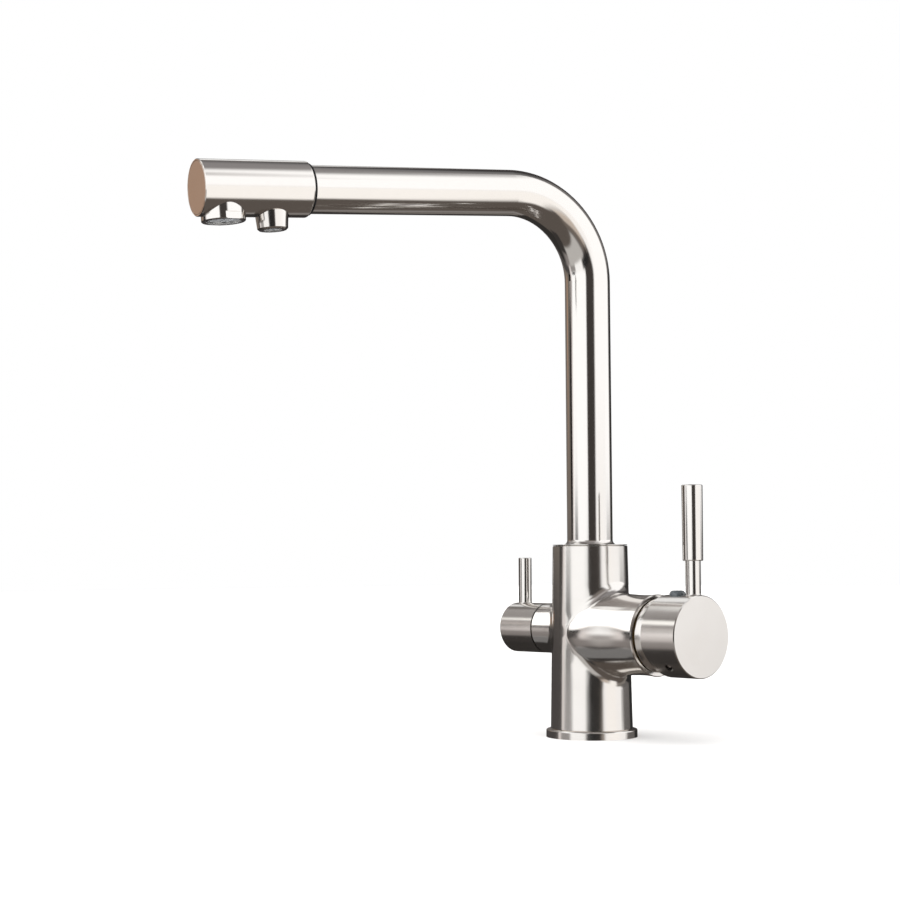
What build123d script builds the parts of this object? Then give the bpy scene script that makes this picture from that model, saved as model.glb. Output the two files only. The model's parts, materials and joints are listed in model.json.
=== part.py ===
from build123d import *
from math import cos, radians, sin, sqrt
import os

# Kitchen tap with a mixer for hot and cold water and a second valve for filtered drinking water.
# Millimetres. The origin is the middle of the face that stands on the worktop, +Z is up, +X runs
# along the axis of the mixer handle, and -X along the axis of the filter handle.

os.makedirs("parts", exist_ok=True)

# Fits and cuts
running_gap = 0.05  # radial gap of a fit that turns or slides
passing_gap = 0.3  # gap between curved faces that pass each other
overrun = 2.0  # how far a cut passes the face that it opens

# Worktop ring and gasket
ring_diameter = 51.6
ring_height = 4.5
ring_edge = 0.8
gasket_inner_diameter = 43.0
gasket_outer_diameter = 48.0
gasket_thickness = 1.6

# Column, mixer boss and filter neck of the forged body
column_foot_diameter = 46.4
column_top_diameter = 42.6
column_top_height = 108.0
column_edge = 0.5
mixer_height = 58.2
boss_reach = 51.9
boss_mouth_diameter = 45.2
boss_waist_reach = 45.0
boss_waist_diameter = 44.2
boss_belly_reach = 22.0
boss_belly_diameter = 46.0
boss_root_diameter = 42.8
boss_blend = 7.0
boss_rim_edge = 0.6
filter_drop = 47.5  # below the column's top
neck_reach = 33.9
neck_diameter = 28.8
neck_root_diameter = 30.4
neck_blend = 7.0

# Water inlets and waterways
inlet_block_diameter = 38.0
inlet_block_height = 18.0
inlet_bore_diameter = 9.0  # tapping size of M10 x 1
inlet_bore_depth = 12.0
water_inlet_x = 7.4
water_inlet_y = 8.8
filter_inlet_x = -10.0
stud_bore_diameter = 6.8  # tapping size of M8
stud_bore_depth = 14.0
stud_x = -3.5
stud_spacing = 25.0
waterway_diameter = 4.4
outlet_way_diameter = 6.0
outlet_way_x = 8.2
filter_way_diameter = 3.6
filter_way_x = -18.5
filter_way_rise_share = 0.65  # of the room between the filter valve and the spout bore

# Spout swivel
spout_bore_diameter = 30.1
spout_bore_depth = 24.0
spigot_foot_gap = 0.6
spigot_wall = 1.55
spigot_neck_length = 16.0
o_ring_section = 1.9
o_ring_depths = (18.0, 6.0)  # below the column's top
o_ring_groove_width = 2.4
retaining_ring_depth = 12.0  # below the column's top
retaining_ring_thickness = 1.4
retaining_ring_inner_diameter = 27.8
retaining_ring_outer_diameter = 32.0
retaining_ring_opening = 8.0
slip_washer_inner_diameter = 31.0
slip_washer_outer_diameter = 39.0
slip_washer_thickness = 1.0
collar_gap = 0.3
collar_diameter = 42.4
collar_rim_height = 0.3
collar_flare = 2.6

# Spout tube
spout_height = 311.2
spout_droop = 4.3
spout_rest_angle = -104.4
tube_diameter = 26.0
tube_wall = 1.2
bend_radius = 48.0

# Drinking water pipe inside the spout
riser_diameter = 7.0
riser_foot_diameter = 8.9
riser_foot_depth = 5.0
riser_top_depth = 2.0  # below the column's top
riser_bore_diameter = 4.0
riser_o_ring_depth = 5.0  # below the column's top
small_o_ring_section = 1.0
small_groove_width = 1.4
pipe_diameter = 8.0
pipe_bore_diameter = 5.5
pipe_socket_diameter = 11.0
pipe_socket_depth = 16.0  # below the column's top
pipe_socket_step_depth = 1.0  # below the column's top
pipe_start_rise = 1.0  # above the column's top
pipe_socket_rise = 10.0  # above the column's top

# Outlet head, measured along the spout from the column's axis
head_start = 175.2
head_end = 236.2
head_diameter = 30.1
head_rear_edge = 1.1
head_rear_recess = 1.0
head_rear_gap = 0.55
head_front_edge = 0.4
tube_insertion = 10.0
head_partition_end = 205.0
head_chamber_diameter = 22.4
head_chamber_end = 232.0
head_chamber_floor_drop = 5.0
head_way_diameter = 5.0
head_way_circle_diameter = 16.2
head_way_count = 3
head_way_first_angle = 30.0
head_way_angle_step = 60.0
tip_cap_diameter = 28.2
tip_cap_thickness = 1.3
tip_cap_edge = 0.3
pipe_insertion = 6.0
pipe_o_ring_insertion = 3.0

# Aerator
aerator_along = 222.6
aerator_diameter = 23.4
aerator_stand_out = 2.7
aerator_seat_drop = 7.0
aerator_washer_thickness = 1.2
aerator_washer_bore = 17.0
aerator_bore_diameter = 20.4
aerator_lip_thickness = 1.2
aerator_lip_bore = 18.8
aerator_edge = 0.4
aerator_flats_across = 21.6
aerator_flats_height = 3.7
aerator_flats_angle = 80.0
insert_hole_diameter = 2.2
insert_hole_pitch = 3.6
insert_hole_rows = 5

# Drinking water nozzle
nozzle_along = 195.5
nozzle_diameter = 18.0
nozzle_tip_diameter = 16.2
nozzle_stand_out = 7.0
nozzle_edge = 0.8
nozzle_seat_drop = 12.4
nozzle_thread_diameter = 13.0
nozzle_thread_top = 9.3
nozzle_bore_diameter = 5.0
nozzle_mouth_diameter = 10.0
nozzle_mouth_depth = 5.5
nozzle_insert_recess = 0.8
nozzle_insert_length = 3.0
nozzle_insert_hole_diameter = 1.8
nozzle_insert_hole_circle = 5.6
nozzle_insert_hole_count = 6

# Mixer cartridge, measured along the mixer axis from the column's axis
cartridge_floor = 28.0
cartridge_diameter = 35.0
cartridge_wall = 2.2
cartridge_shoulder = 47.0
cartridge_top_plate = 1.5
cartridge_neck_diameter = 26.0
cartridge_neck_end = 53.5
cartridge_neck_wall = 1.6
cartridge_base_thickness = 3.6
seal_diameter = 7.6
seal_bore_diameter = 4.8
seal_thickness = 1.2
seal_stand_out = 0.4
port_lift = 4.0
port_y = 6.6
outlet_port_drop = 6.5
disc_thickness = 3.0
moving_disc_diameter = 21.0
moving_disc_thickness = 3.6
moving_disc_pocket_diameter = 10.0
moving_disc_pocket_drop = 4.0
moving_disc_pocket_depth = 1.6
slide_plate_thickness = 4.6
slide_plate_across = 17.0

# Mixer carrier, pivot and spindle
pivot_reach = 51.0
ball_arm = 9.0
ball_diameter = 4.8
ball_socket_gap = 0.35
arm_diameter = 3.8
spindle_diameter = 8.6
spindle_start = 46.6
spindle_end = 79.0
spindle_flat_depth = 0.8
carrier_start = 43.45
carrier_flange_thickness = 2.0
carrier_neck_end = 54.0
carrier_slot_length = 13.4
carrier_rail_length = 14.0
carrier_rail_reach = 3.9
carrier_rail_outer_across = 25.0
pivot_pin_diameter = 3.0
pivot_pin_length = 21.0

# Cartridge nut and bonnet
nut_thread_diameter = 39.0
nut_neck_diameter = 34.0
nut_flange_end = 51.5
nut_end = 57.0
bonnet_diameter = 40.4
bonnet_shell = 1.8
bonnet_start = 52.7
bonnet_skirt_end = 57.4
bonnet_opening_diameter = 25.2

# Mixer handle
hub_diameter = 44.7
hub_start = 59.1
hub_face = 82.8
hub_edge = 0.5
hub_cut_drop = 6.0
hub_cut_reach = 4.3
lever_setback = 5.4  # behind the face of the hub
stem_diameter = 8.3
stem_depth = 12.0
grip_start = 98.9
grip_end = 139.9
grip_foot_diameter = 11.0
grip_top_diameter = 11.4
grip_edge = 0.6
grip_socket_depth = 25.0
index_setback = 11.4  # behind the lever
index_diameter = 8.8
index_height = 2.4
index_edge = 2.2
index_seat_depth = 1.3
hub_screw_setback = 9.6  # behind the face of the hub
hub_screw_angle = 43.0
hub_screw_diameter = 5.0
hub_screw_length = 8.0
hub_screw_socket = 2.5
hub_screw_socket_depth = 2.5

# Filter valve, measured along -X from the column's axis
valve_floor = 12.0
valve_thread_diameter = 18.0
valve_seal_diameter = 16.0
valve_seal_bore = 9.0
valve_seal_thickness = 1.5
valve_disc_diameter = 13.0
valve_disc_thickness = 2.2
valve_window_diameter = 5.0
valve_window_reach = 20.0
valve_groove_depth = 1.0
valve_groove_start = 16.6
valve_groove_end = 23.4
valve_hex_across = 19.4
valve_hex_end = 40.0
valve_neck_diameter = 13.0
valve_neck_end = 45.5
valve_spindle_diameter = 7.8
valve_spindle_end = 57.0
valve_flange_thickness = 3.3
valve_flange_window = 3.2
circlip_thickness = 0.8
circlip_outer_diameter = 11.0
circlip_inner_diameter = 6.6
circlip_opening = 4.0
valve_o_ring_reach = 42.0

# Filter handle
knob_start = 34.9
knob_end = 61.1
knob_diameter = 28.9
knob_bore_diameter = 23.4
knob_floor = 48.0
knob_edge = 0.8
filter_lever_reach = 54.1
filter_lever_diameter = 7.7
filter_lever_top = 101.5
filter_lever_depth = 8.0
filter_lever_edge = 0.4
knob_screw_diameter = 4.0
knob_screw_length = 6.0
knob_screw_socket = 2.0
knob_screw_socket_depth = 2.0

# Places and planes worked out from the sizes above
filter_height = column_top_height - filter_drop
spout_bore_floor = column_top_height - spout_bore_depth
spigot_start = spout_bore_floor + spigot_foot_gap
retaining_ring_height = column_top_height - retaining_ring_depth
riser_top = column_top_height - riser_top_depth
riser_o_ring_height = column_top_height - riser_o_ring_depth
pipe_socket_start = column_top_height - pipe_socket_depth
pipe_socket_step = column_top_height - pipe_socket_step_depth
pipe_start = column_top_height + pipe_start_rise
pipe_socket_end = column_top_height + pipe_socket_rise
filter_way_height = filter_height + filter_way_rise_share * (spout_bore_floor - filter_height)
lever_reach = hub_face - lever_setback
index_reach = lever_reach - index_setback
hub_screw_reach = hub_face - hub_screw_setback
collar_height = collar_rim_height + collar_flare
spout_bore_radius = spout_bore_diameter / 2
spigot_radius = spout_bore_radius - running_gap
tube_radius = tube_diameter / 2
tube_bore_radius = tube_radius - tube_wall
collar_seat = column_top_height + collar_gap
slip_washer_seat = collar_seat - running_gap - slip_washer_thickness
head_radius = head_diameter / 2
cartridge_base_start = cartridge_floor + seal_stand_out
fixed_disc_start = cartridge_base_start + cartridge_base_thickness
moving_disc_start = fixed_disc_start + disc_thickness + running_gap
slide_plate_start = moving_disc_start + moving_disc_thickness
cartridge_bore_radius = cartridge_diameter / 2 - cartridge_wall
bonnet_radius = bonnet_diameter / 2
hub_bore_radius = bonnet_radius + passing_gap
hub_floor = pivot_reach + bonnet_radius + passing_gap

turn = radians(spout_rest_angle)
droop = radians(spout_droop)
spout_plane = Plane(origin=(0, 0, 0), x_dir=(cos(turn), sin(turn), 0), z_dir=(sin(turn), -cos(turn), 0))
arm_direction = (cos(turn) * cos(droop), sin(turn) * cos(droop), -sin(droop))
arm_plane = Plane(origin=(0, 0, spout_height), x_dir=arm_direction, z_dir=(sin(turn), -cos(turn), 0))
arm_axis = Axis(arm_plane.origin, arm_plane.x_dir)
outlet_axis = Axis(arm_plane.origin, -arm_plane.y_dir)
mixer_plane = Plane(origin=(0, 0, mixer_height), x_dir=(1, 0, 0), z_dir=(0, -1, 0))
mixer_axis = Axis((0, 0, mixer_height), (1, 0, 0))
filter_plane = Plane(origin=(0, 0, filter_height), x_dir=(-1, 0, 0), z_dir=(0, 1, 0))
filter_axis = Axis((0, 0, filter_height), (-1, 0, 0))


def across_mixer(reach):
    """Plane square to the mixer axis at a reach, with its own x to the back and y up."""
    return Plane(origin=(reach, 0, mixer_height), x_dir=(0, 1, 0), z_dir=(1, 0, 0))


def across_filter(reach):
    """Plane square to the filter axis at a reach, facing outwards, with its own y up."""
    return Plane(origin=(-reach, 0, filter_height), x_dir=(0, -1, 0), z_dir=(-1, 0, 0))


def across_arm(along):
    """Plane square to the spout at a distance along it, with its own y up."""
    centre = arm_plane.from_local_coords((along, 0, 0))
    return Plane(origin=centre, x_dir=-arm_plane.z_dir, z_dir=arm_plane.x_dir)


def outlet_plane(along, drop):
    """Plane that faces down out of the head, a drop below the spout's axis."""
    centre = arm_plane.from_local_coords((along, -drop, 0))
    return Plane(origin=centre, x_dir=arm_plane.x_dir, z_dir=-arm_plane.y_dir)


# Body: tapered column with the mixer boss on one side and the filter neck on the other
with BuildPart() as body:
    with BuildSketch(Plane.XZ):
        with BuildLine():
            Polyline(
                (0, ring_height),
                (column_foot_diameter / 2, ring_height),
                (column_top_diameter / 2, column_top_height),
                (0, column_top_height),
                close=True,
            )
        make_face()
    revolve(axis=Axis.Z)
    chamfer(body.edges().filter_by(GeomType.CIRCLE), column_edge)
    with BuildSketch(mixer_plane):
        with BuildLine():
            Spline(
                (0, boss_root_diameter / 2),
                (boss_belly_reach, boss_belly_diameter / 2),
                (boss_waist_reach, boss_waist_diameter / 2),
                (boss_reach, boss_mouth_diameter / 2),
            )
            Polyline(
                (boss_reach, boss_mouth_diameter / 2),
                (boss_reach, 0),
                (0, 0),
                (0, boss_root_diameter / 2),
            )
        make_face()
    revolve(axis=mixer_axis)
    fillet(body.edges(Select.NEW), boss_blend)
    with BuildSketch(filter_plane):
        with BuildLine():
            Polyline(
                (0, 0),
                (0, neck_root_diameter / 2),
                (neck_reach, neck_diameter / 2),
                (neck_reach, 0),
                close=True,
            )
        make_face()
    revolve(axis=filter_axis)
    fillet(body.edges(Select.NEW), neck_blend)
    mouth = body.faces().sort_by(Axis.X)[-1].edges()
    chamfer(mouth, boss_rim_edge)

    # seats of the inlet block, the spout, the cartridge with its nut, and the filter valve
    with BuildSketch(Plane.XY):
        Circle(inlet_block_diameter / 2 + running_gap)
    extrude(amount=inlet_block_height, mode=Mode.SUBTRACT)
    with BuildSketch(Plane.XY.offset(spout_bore_floor)):
        Circle(spout_bore_radius)
    extrude(amount=column_top_height, mode=Mode.SUBTRACT)
    with BuildSketch(Plane.XY.offset(slip_washer_seat)):
        Circle(slip_washer_outer_diameter / 2 + running_gap)
    extrude(amount=overrun, mode=Mode.SUBTRACT)
    with BuildSketch(Plane.XY.offset(retaining_ring_height - retaining_ring_thickness / 2)):
        Circle(retaining_ring_outer_diameter / 2 + running_gap)
    extrude(amount=retaining_ring_thickness, mode=Mode.SUBTRACT)
    with BuildSketch(across_mixer(cartridge_floor)):
        Circle(cartridge_diameter / 2 + running_gap)
    extrude(amount=boss_reach, mode=Mode.SUBTRACT)
    with BuildSketch(across_mixer(cartridge_shoulder)):
        Circle(nut_thread_diameter / 2 + running_gap)
    extrude(amount=boss_reach, mode=Mode.SUBTRACT)
    with BuildSketch(across_filter(valve_floor)):
        Circle(valve_thread_diameter / 2 + running_gap)
    extrude(amount=neck_reach, mode=Mode.SUBTRACT)

    # hot and cold waterways: up from the inlets, then out to the cartridge floor
    with BuildSketch(Plane.XY):
        with Locations((water_inlet_x, port_y), (water_inlet_x, -port_y)):
            Circle(waterway_diameter / 2)
    extrude(amount=mixer_height + port_lift, mode=Mode.SUBTRACT)
    with BuildSketch(across_mixer(water_inlet_x)):
        with Locations((port_y, port_lift), (-port_y, port_lift)):
            Circle(waterway_diameter / 2)
    extrude(amount=cartridge_floor, mode=Mode.SUBTRACT)

    # mixed waterway: back from the cartridge floor, then up into the spout's bore
    with BuildSketch(across_mixer(outlet_way_x)):
        with Locations((0, -outlet_port_drop)):
            Circle(outlet_way_diameter / 2)
    extrude(amount=cartridge_floor, mode=Mode.SUBTRACT)
    with BuildSketch(Plane.XY.offset(mixer_height - outlet_port_drop)):
        with Locations((outlet_way_x, 0)):
            Circle(outlet_way_diameter / 2)
    extrude(amount=spout_bore_floor - mixer_height + outlet_port_drop, mode=Mode.SUBTRACT)

    # filter waterway: up to the valve's floor, out of its side, and on to the middle of the spout
    with BuildSketch(Plane.XY):
        with Locations((filter_inlet_x, 0)):
            Circle(filter_way_diameter / 2)
    extrude(amount=filter_height, mode=Mode.SUBTRACT)
    with BuildSketch(across_filter(-filter_inlet_x)):
        Circle(filter_way_diameter / 2)
    extrude(amount=valve_floor + filter_inlet_x + overrun, mode=Mode.SUBTRACT)
    with BuildSketch(Plane.XY.offset(filter_height)):
        with Locations((filter_way_x, 0)):
            Circle(filter_way_diameter / 2)
    extrude(amount=filter_way_height - filter_height, mode=Mode.SUBTRACT)
    with BuildSketch(Plane(origin=(filter_way_x, 0, filter_way_height), x_dir=(0, 1, 0), z_dir=(1, 0, 0))):
        Circle(filter_way_diameter / 2)
    extrude(amount=-filter_way_x, mode=Mode.SUBTRACT)
    with BuildSketch(Plane.XY.offset(filter_way_height)):
        Circle(riser_bore_diameter / 2)
    extrude(amount=spout_bore_floor - filter_way_height, mode=Mode.SUBTRACT)
    with BuildSketch(Plane.XY.offset(spout_bore_floor - riser_foot_depth)):
        Circle(riser_foot_diameter / 2 + running_gap)
    extrude(amount=riser_foot_depth, mode=Mode.SUBTRACT)
body.part.label = "body"
export_step(body.part, "parts/body.step")

# Worktop ring, with its gasket in a groove underneath
with BuildPart() as base_ring:
    with BuildSketch(Plane.XY):
        Circle(ring_diameter / 2)
        Circle(inlet_block_diameter / 2 + running_gap, mode=Mode.SUBTRACT)
    extrude(amount=ring_height)
    fillet(base_ring.faces().sort_by(Axis.Z)[-1].edges().sort_by(SortBy.LENGTH)[-1], ring_edge)
    with BuildSketch(Plane.XY):
        Circle(gasket_outer_diameter / 2)
        Circle(gasket_inner_diameter / 2, mode=Mode.SUBTRACT)
    extrude(amount=gasket_thickness, mode=Mode.SUBTRACT)
base_ring.part.label = "base_ring"
export_step(base_ring.part, "parts/base_ring.step")

with BuildPart() as base_gasket:
    with BuildSketch(Plane.XY):
        Circle(gasket_outer_diameter / 2)
        Circle(gasket_inner_diameter / 2, mode=Mode.SUBTRACT)
    extrude(amount=gasket_thickness)
base_gasket.part.label = "base_gasket"
export_step(base_gasket.part, "parts/base_gasket.step")

# Inlet block: three threaded inlets for the hoses and two stud holes in its underside
with BuildPart() as inlet_block:
    with BuildSketch(Plane.XY):
        Circle(inlet_block_diameter / 2)
    extrude(amount=inlet_block_height)
    with BuildSketch(Plane.XY):
        with Locations((water_inlet_x, water_inlet_y), (water_inlet_x, -water_inlet_y), (filter_inlet_x, 0)):
            Circle(inlet_bore_diameter / 2)
    extrude(amount=inlet_bore_depth, mode=Mode.SUBTRACT)
    with BuildSketch(Plane.XY):
        with Locations((water_inlet_x, port_y), (water_inlet_x, -port_y)):
            Circle(waterway_diameter / 2)
        with Locations((filter_inlet_x, 0)):
            Circle(filter_way_diameter / 2)
    extrude(amount=inlet_block_height, mode=Mode.SUBTRACT)
    with BuildSketch(Plane.XY):
        with Locations((stud_x, stud_spacing / 2), (stud_x, -stud_spacing / 2)):
            Circle(stud_bore_diameter / 2)
    extrude(amount=stud_bore_depth, mode=Mode.SUBTRACT)
inlet_block.part.label = "inlet_block"
export_step(inlet_block.part, "parts/inlet_block.step")

# Riser: fixed nipple that brings the drinking water up through the middle of the swivel
with BuildPart() as filter_riser:
    with BuildSketch(Plane.XY.offset(spout_bore_floor - riser_foot_depth)):
        Circle(riser_foot_diameter / 2)
    extrude(amount=riser_foot_depth)
    with BuildSketch(Plane.XY.offset(spout_bore_floor)):
        Circle(riser_diameter / 2)
    extrude(amount=riser_top - spout_bore_floor)
    with BuildSketch(Plane.XY.offset(riser_o_ring_height - small_groove_width / 2)):
        Circle(riser_diameter / 2)
        Circle(riser_diameter / 2 - small_o_ring_section, mode=Mode.SUBTRACT)
    extrude(amount=small_groove_width, mode=Mode.SUBTRACT)
    with BuildSketch(Plane.XY.offset(spout_bore_floor - riser_foot_depth)):
        Circle(riser_bore_diameter / 2)
    extrude(amount=riser_top, mode=Mode.SUBTRACT)
filter_riser.part.label = "filter_riser"
export_step(filter_riser.part, "parts/filter_riser.step")

with BuildPart() as riser_o_ring:
    with Locations((0, 0, riser_o_ring_height)):
        Torus(riser_diameter / 2 - small_o_ring_section / 2, small_o_ring_section / 2)
riser_o_ring.part.label = "riser_o_ring"
export_step(riser_o_ring.part, "parts/riser_o_ring.step")

# Slip washer that the spout's collar turns on, and the split ring that keeps the spout in
with BuildPart() as slip_washer:
    with BuildSketch(Plane.XY.offset(slip_washer_seat)):
        Circle(slip_washer_outer_diameter / 2)
        Circle(slip_washer_inner_diameter / 2, mode=Mode.SUBTRACT)
    extrude(amount=slip_washer_thickness)
slip_washer.part.label = "slip_washer"
export_step(slip_washer.part, "parts/slip_washer.step")

with BuildPart() as retaining_ring:
    with BuildSketch(Plane.XY.offset(retaining_ring_height - retaining_ring_thickness / 2)):
        Circle(retaining_ring_outer_diameter / 2)
        Circle(retaining_ring_inner_diameter / 2, mode=Mode.SUBTRACT)
        with Locations((0, retaining_ring_outer_diameter / 2)):
            Rectangle(retaining_ring_opening, retaining_ring_outer_diameter / 2, mode=Mode.SUBTRACT)
    extrude(amount=retaining_ring_thickness)
retaining_ring.part.label = "retaining_ring"
export_step(retaining_ring.part, "parts/retaining_ring.step")

# Spigot: turned foot of the spout, with two sealing grooves and the groove of the split ring
with BuildPart() as spout_spigot:
    with BuildSketch(Plane.XY.offset(spigot_start)):
        Circle(spigot_radius)
    extrude(amount=column_top_height - spigot_start)
    with BuildSketch(Plane.XY.offset(column_top_height)):
        Circle(tube_bore_radius)
    extrude(amount=spigot_neck_length)
    for depth in o_ring_depths:
        with BuildSketch(Plane.XY.offset(column_top_height - depth - o_ring_groove_width / 2)):
            Circle(spigot_radius)
            Circle(spigot_radius - o_ring_section, mode=Mode.SUBTRACT)
        extrude(amount=o_ring_groove_width, mode=Mode.SUBTRACT)
    with BuildSketch(Plane.XY.offset(retaining_ring_height - retaining_ring_thickness / 2 - running_gap)):
        Circle(spigot_radius)
        Circle(retaining_ring_inner_diameter / 2 - running_gap, mode=Mode.SUBTRACT)
    extrude(amount=retaining_ring_thickness + 2 * running_gap, mode=Mode.SUBTRACT)
    with BuildSketch(Plane.XY.offset(spigot_start)):
        Circle(tube_bore_radius - spigot_wall)
    extrude(amount=column_top_height, mode=Mode.SUBTRACT)
spout_spigot.part.label = "spout_spigot"
export_step(spout_spigot.part, "parts/spout_spigot.step")

with BuildPart() as spigot_o_rings:
    with Locations(*[(0, 0, column_top_height - depth) for depth in o_ring_depths]):
        Torus(spigot_radius - o_ring_section / 2, o_ring_section / 2)
spigot_o_rings.part.label = "spigot_o_rings"
export_step(spigot_o_rings.part, "parts/spigot_o_rings.step")

# Collar: a thin cap over the body that flares up into the spout tube
with BuildPart() as swivel_collar:
    with BuildSketch(Plane.XZ):
        with BuildLine():
            Polyline(
                (tube_radius, collar_seat),
                (collar_diameter / 2, collar_seat),
                (collar_diameter / 2, collar_seat + collar_rim_height),
                (tube_radius + collar_flare, collar_seat + collar_rim_height),
            )
            RadiusArc(
                (tube_radius + collar_flare, collar_seat + collar_rim_height),
                (tube_radius, collar_seat + collar_height),
                collar_flare,
            )
            Line((tube_radius, collar_seat + collar_height), (tube_radius, collar_seat))
        make_face()
    revolve(axis=Axis.Z)
swivel_collar.part.label = "swivel_collar"
export_step(swivel_collar.part, "parts/swivel_collar.step")

# Spout tube: one bent length from the spigot's shoulder into the outlet head
tube_end = head_start + tube_insertion
with BuildPart() as spout_tube:
    with BuildLine(spout_plane) as tube_route:
        FilletPolyline(
            (0, column_top_height),
            (0, spout_height),
            (tube_end * cos(droop), spout_height - tube_end * sin(droop)),
            radius=bend_radius,
        )
    with BuildSketch(Plane.XY.offset(column_top_height)):
        Circle(tube_radius)
        Circle(tube_bore_radius, mode=Mode.SUBTRACT)
    sweep(path=tube_route.wires()[0])
spout_tube.part.label = "spout_tube"
export_step(spout_tube.part, "parts/spout_tube.step")

# Drinking water pipe: turns with the spout, from a socket on the riser to the outlet head
with BuildPart() as pipe_socket:
    with BuildSketch(Plane.XY.offset(pipe_socket_start)):
        Circle(pipe_socket_diameter / 2)
    extrude(amount=pipe_socket_end - pipe_socket_start)
    with BuildSketch(Plane.XY.offset(pipe_socket_start)):
        Circle(riser_diameter / 2 + running_gap)
    extrude(amount=pipe_socket_step - pipe_socket_start, mode=Mode.SUBTRACT)
    with BuildSketch(Plane.XY.offset(pipe_socket_step)):
        Circle(pipe_bore_diameter / 2)
    extrude(amount=pipe_start - pipe_socket_step, mode=Mode.SUBTRACT)
    with BuildSketch(Plane.XY.offset(pipe_start)):
        Circle(pipe_diameter / 2)
    extrude(amount=pipe_socket_end - pipe_start, mode=Mode.SUBTRACT)
pipe_socket.part.label = "pipe_socket"
export_step(pipe_socket.part, "parts/pipe_socket.step")

pipe_end = tube_end + pipe_insertion
pipe_o_ring_along = tube_end + pipe_o_ring_insertion
with BuildPart() as filter_pipe:
    with BuildLine(spout_plane) as pipe_route:
        FilletPolyline(
            (0, pipe_start),
            (0, spout_height),
            (pipe_end * cos(droop), spout_height - pipe_end * sin(droop)),
            radius=bend_radius,
        )
    with BuildSketch(Plane.XY.offset(pipe_start)):
        Circle(pipe_diameter / 2)
        Circle(pipe_bore_diameter / 2, mode=Mode.SUBTRACT)
    sweep(path=pipe_route.wires()[0])
filter_pipe.part.label = "filter_pipe"
export_step(filter_pipe.part, "parts/filter_pipe.step")

# Outlet head: keeps the two waters apart and carries the aerator and the nozzle underneath
with BuildPart() as outlet_head:
    with BuildSketch(across_arm(head_start)):
        Circle(head_radius)
    extrude(amount=head_end - head_start)
    fillet(outlet_head.edges().sort_by(arm_axis)[0], head_rear_edge)
    chamfer(outlet_head.edges().sort_by(arm_axis)[-1], head_front_edge)
    with BuildSketch(across_arm(head_start)):
        Circle(tube_radius + running_gap)
    extrude(amount=tube_insertion, mode=Mode.SUBTRACT)
    with BuildSketch(across_arm(head_start)):
        Circle(tube_radius + head_rear_gap)
    extrude(amount=head_rear_recess, mode=Mode.SUBTRACT)
    # flat-floored chamber behind the tip
    with BuildSketch(across_arm(head_partition_end)):
        Circle(head_chamber_diameter / 2)
        with Locations((0, -head_chamber_floor_drop - head_chamber_diameter / 2)):
            Rectangle(head_chamber_diameter, head_chamber_diameter, mode=Mode.SUBTRACT)
    extrude(amount=head_chamber_end - head_partition_end, mode=Mode.SUBTRACT)
    with BuildSketch(across_arm(head_end - tip_cap_thickness)):
        Circle(tip_cap_diameter / 2 + running_gap)
    extrude(amount=tip_cap_thickness, mode=Mode.SUBTRACT)
    # mixed water passes the partition in a half circle of holes over the drinking water pipe
    with BuildSketch(across_arm(tube_end)):
        for way in range(head_way_count):
            way_angle = head_way_first_angle + way * head_way_angle_step
            with PolarLocations(head_way_circle_diameter / 2, 1, way_angle):
                Circle(head_way_diameter / 2)
    extrude(amount=head_partition_end - tube_end, mode=Mode.SUBTRACT)
    with BuildSketch(across_arm(tube_end)):
        Circle(pipe_diameter / 2)
    extrude(amount=pipe_insertion, mode=Mode.SUBTRACT)
    with BuildSketch(across_arm(pipe_o_ring_along - small_o_ring_section / 2)):
        Circle(pipe_diameter / 2 + small_o_ring_section)
    extrude(amount=small_o_ring_section, mode=Mode.SUBTRACT)
    with BuildSketch(across_arm(tube_end)):
        Circle(nozzle_bore_diameter / 2)
    extrude(amount=nozzle_along - tube_end, mode=Mode.SUBTRACT)
    # seats of the nozzle
    with BuildSketch(outlet_plane(nozzle_along, 0)):
        Circle(nozzle_bore_diameter / 2)
    extrude(amount=nozzle_thread_top, mode=Mode.SUBTRACT)
    with BuildSketch(outlet_plane(nozzle_along, nozzle_thread_top)):
        Circle(nozzle_thread_diameter / 2 + running_gap)
    extrude(amount=head_radius, mode=Mode.SUBTRACT)
    with BuildSketch(outlet_plane(nozzle_along, nozzle_seat_drop)):
        Circle(nozzle_diameter / 2 + running_gap)
    extrude(amount=head_radius, mode=Mode.SUBTRACT)
    # outlet of the chamber, with the seat of the aerator below it
    with BuildSketch(outlet_plane(aerator_along, 0)):
        Circle(aerator_washer_bore / 2)
    extrude(amount=aerator_seat_drop, mode=Mode.SUBTRACT)
    with BuildSketch(outlet_plane(aerator_along, aerator_seat_drop)):
        Circle(aerator_diameter / 2 + running_gap)
    extrude(amount=head_radius, mode=Mode.SUBTRACT)
outlet_head.part.label = "outlet_head"
export_step(outlet_head.part, "parts/outlet_head.step")

with BuildPart() as pipe_o_ring:
    with BuildSketch(arm_plane):
        with Locations((pipe_o_ring_along, pipe_diameter / 2 + small_o_ring_section / 2)):
            Circle(small_o_ring_section / 2)
    revolve(axis=arm_axis)
pipe_o_ring.part.label = "pipe_o_ring"
export_step(pipe_o_ring.part, "parts/pipe_o_ring.step")

with BuildPart() as tip_cap:
    with BuildSketch(across_arm(head_end - tip_cap_thickness)):
        Circle(tip_cap_diameter / 2)
    extrude(amount=tip_cap_thickness)
    chamfer(tip_cap.edges().sort_by(arm_axis)[-1], tip_cap_edge)
tip_cap.part.label = "tip_cap"
export_step(tip_cap.part, "parts/tip_cap.step")

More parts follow.
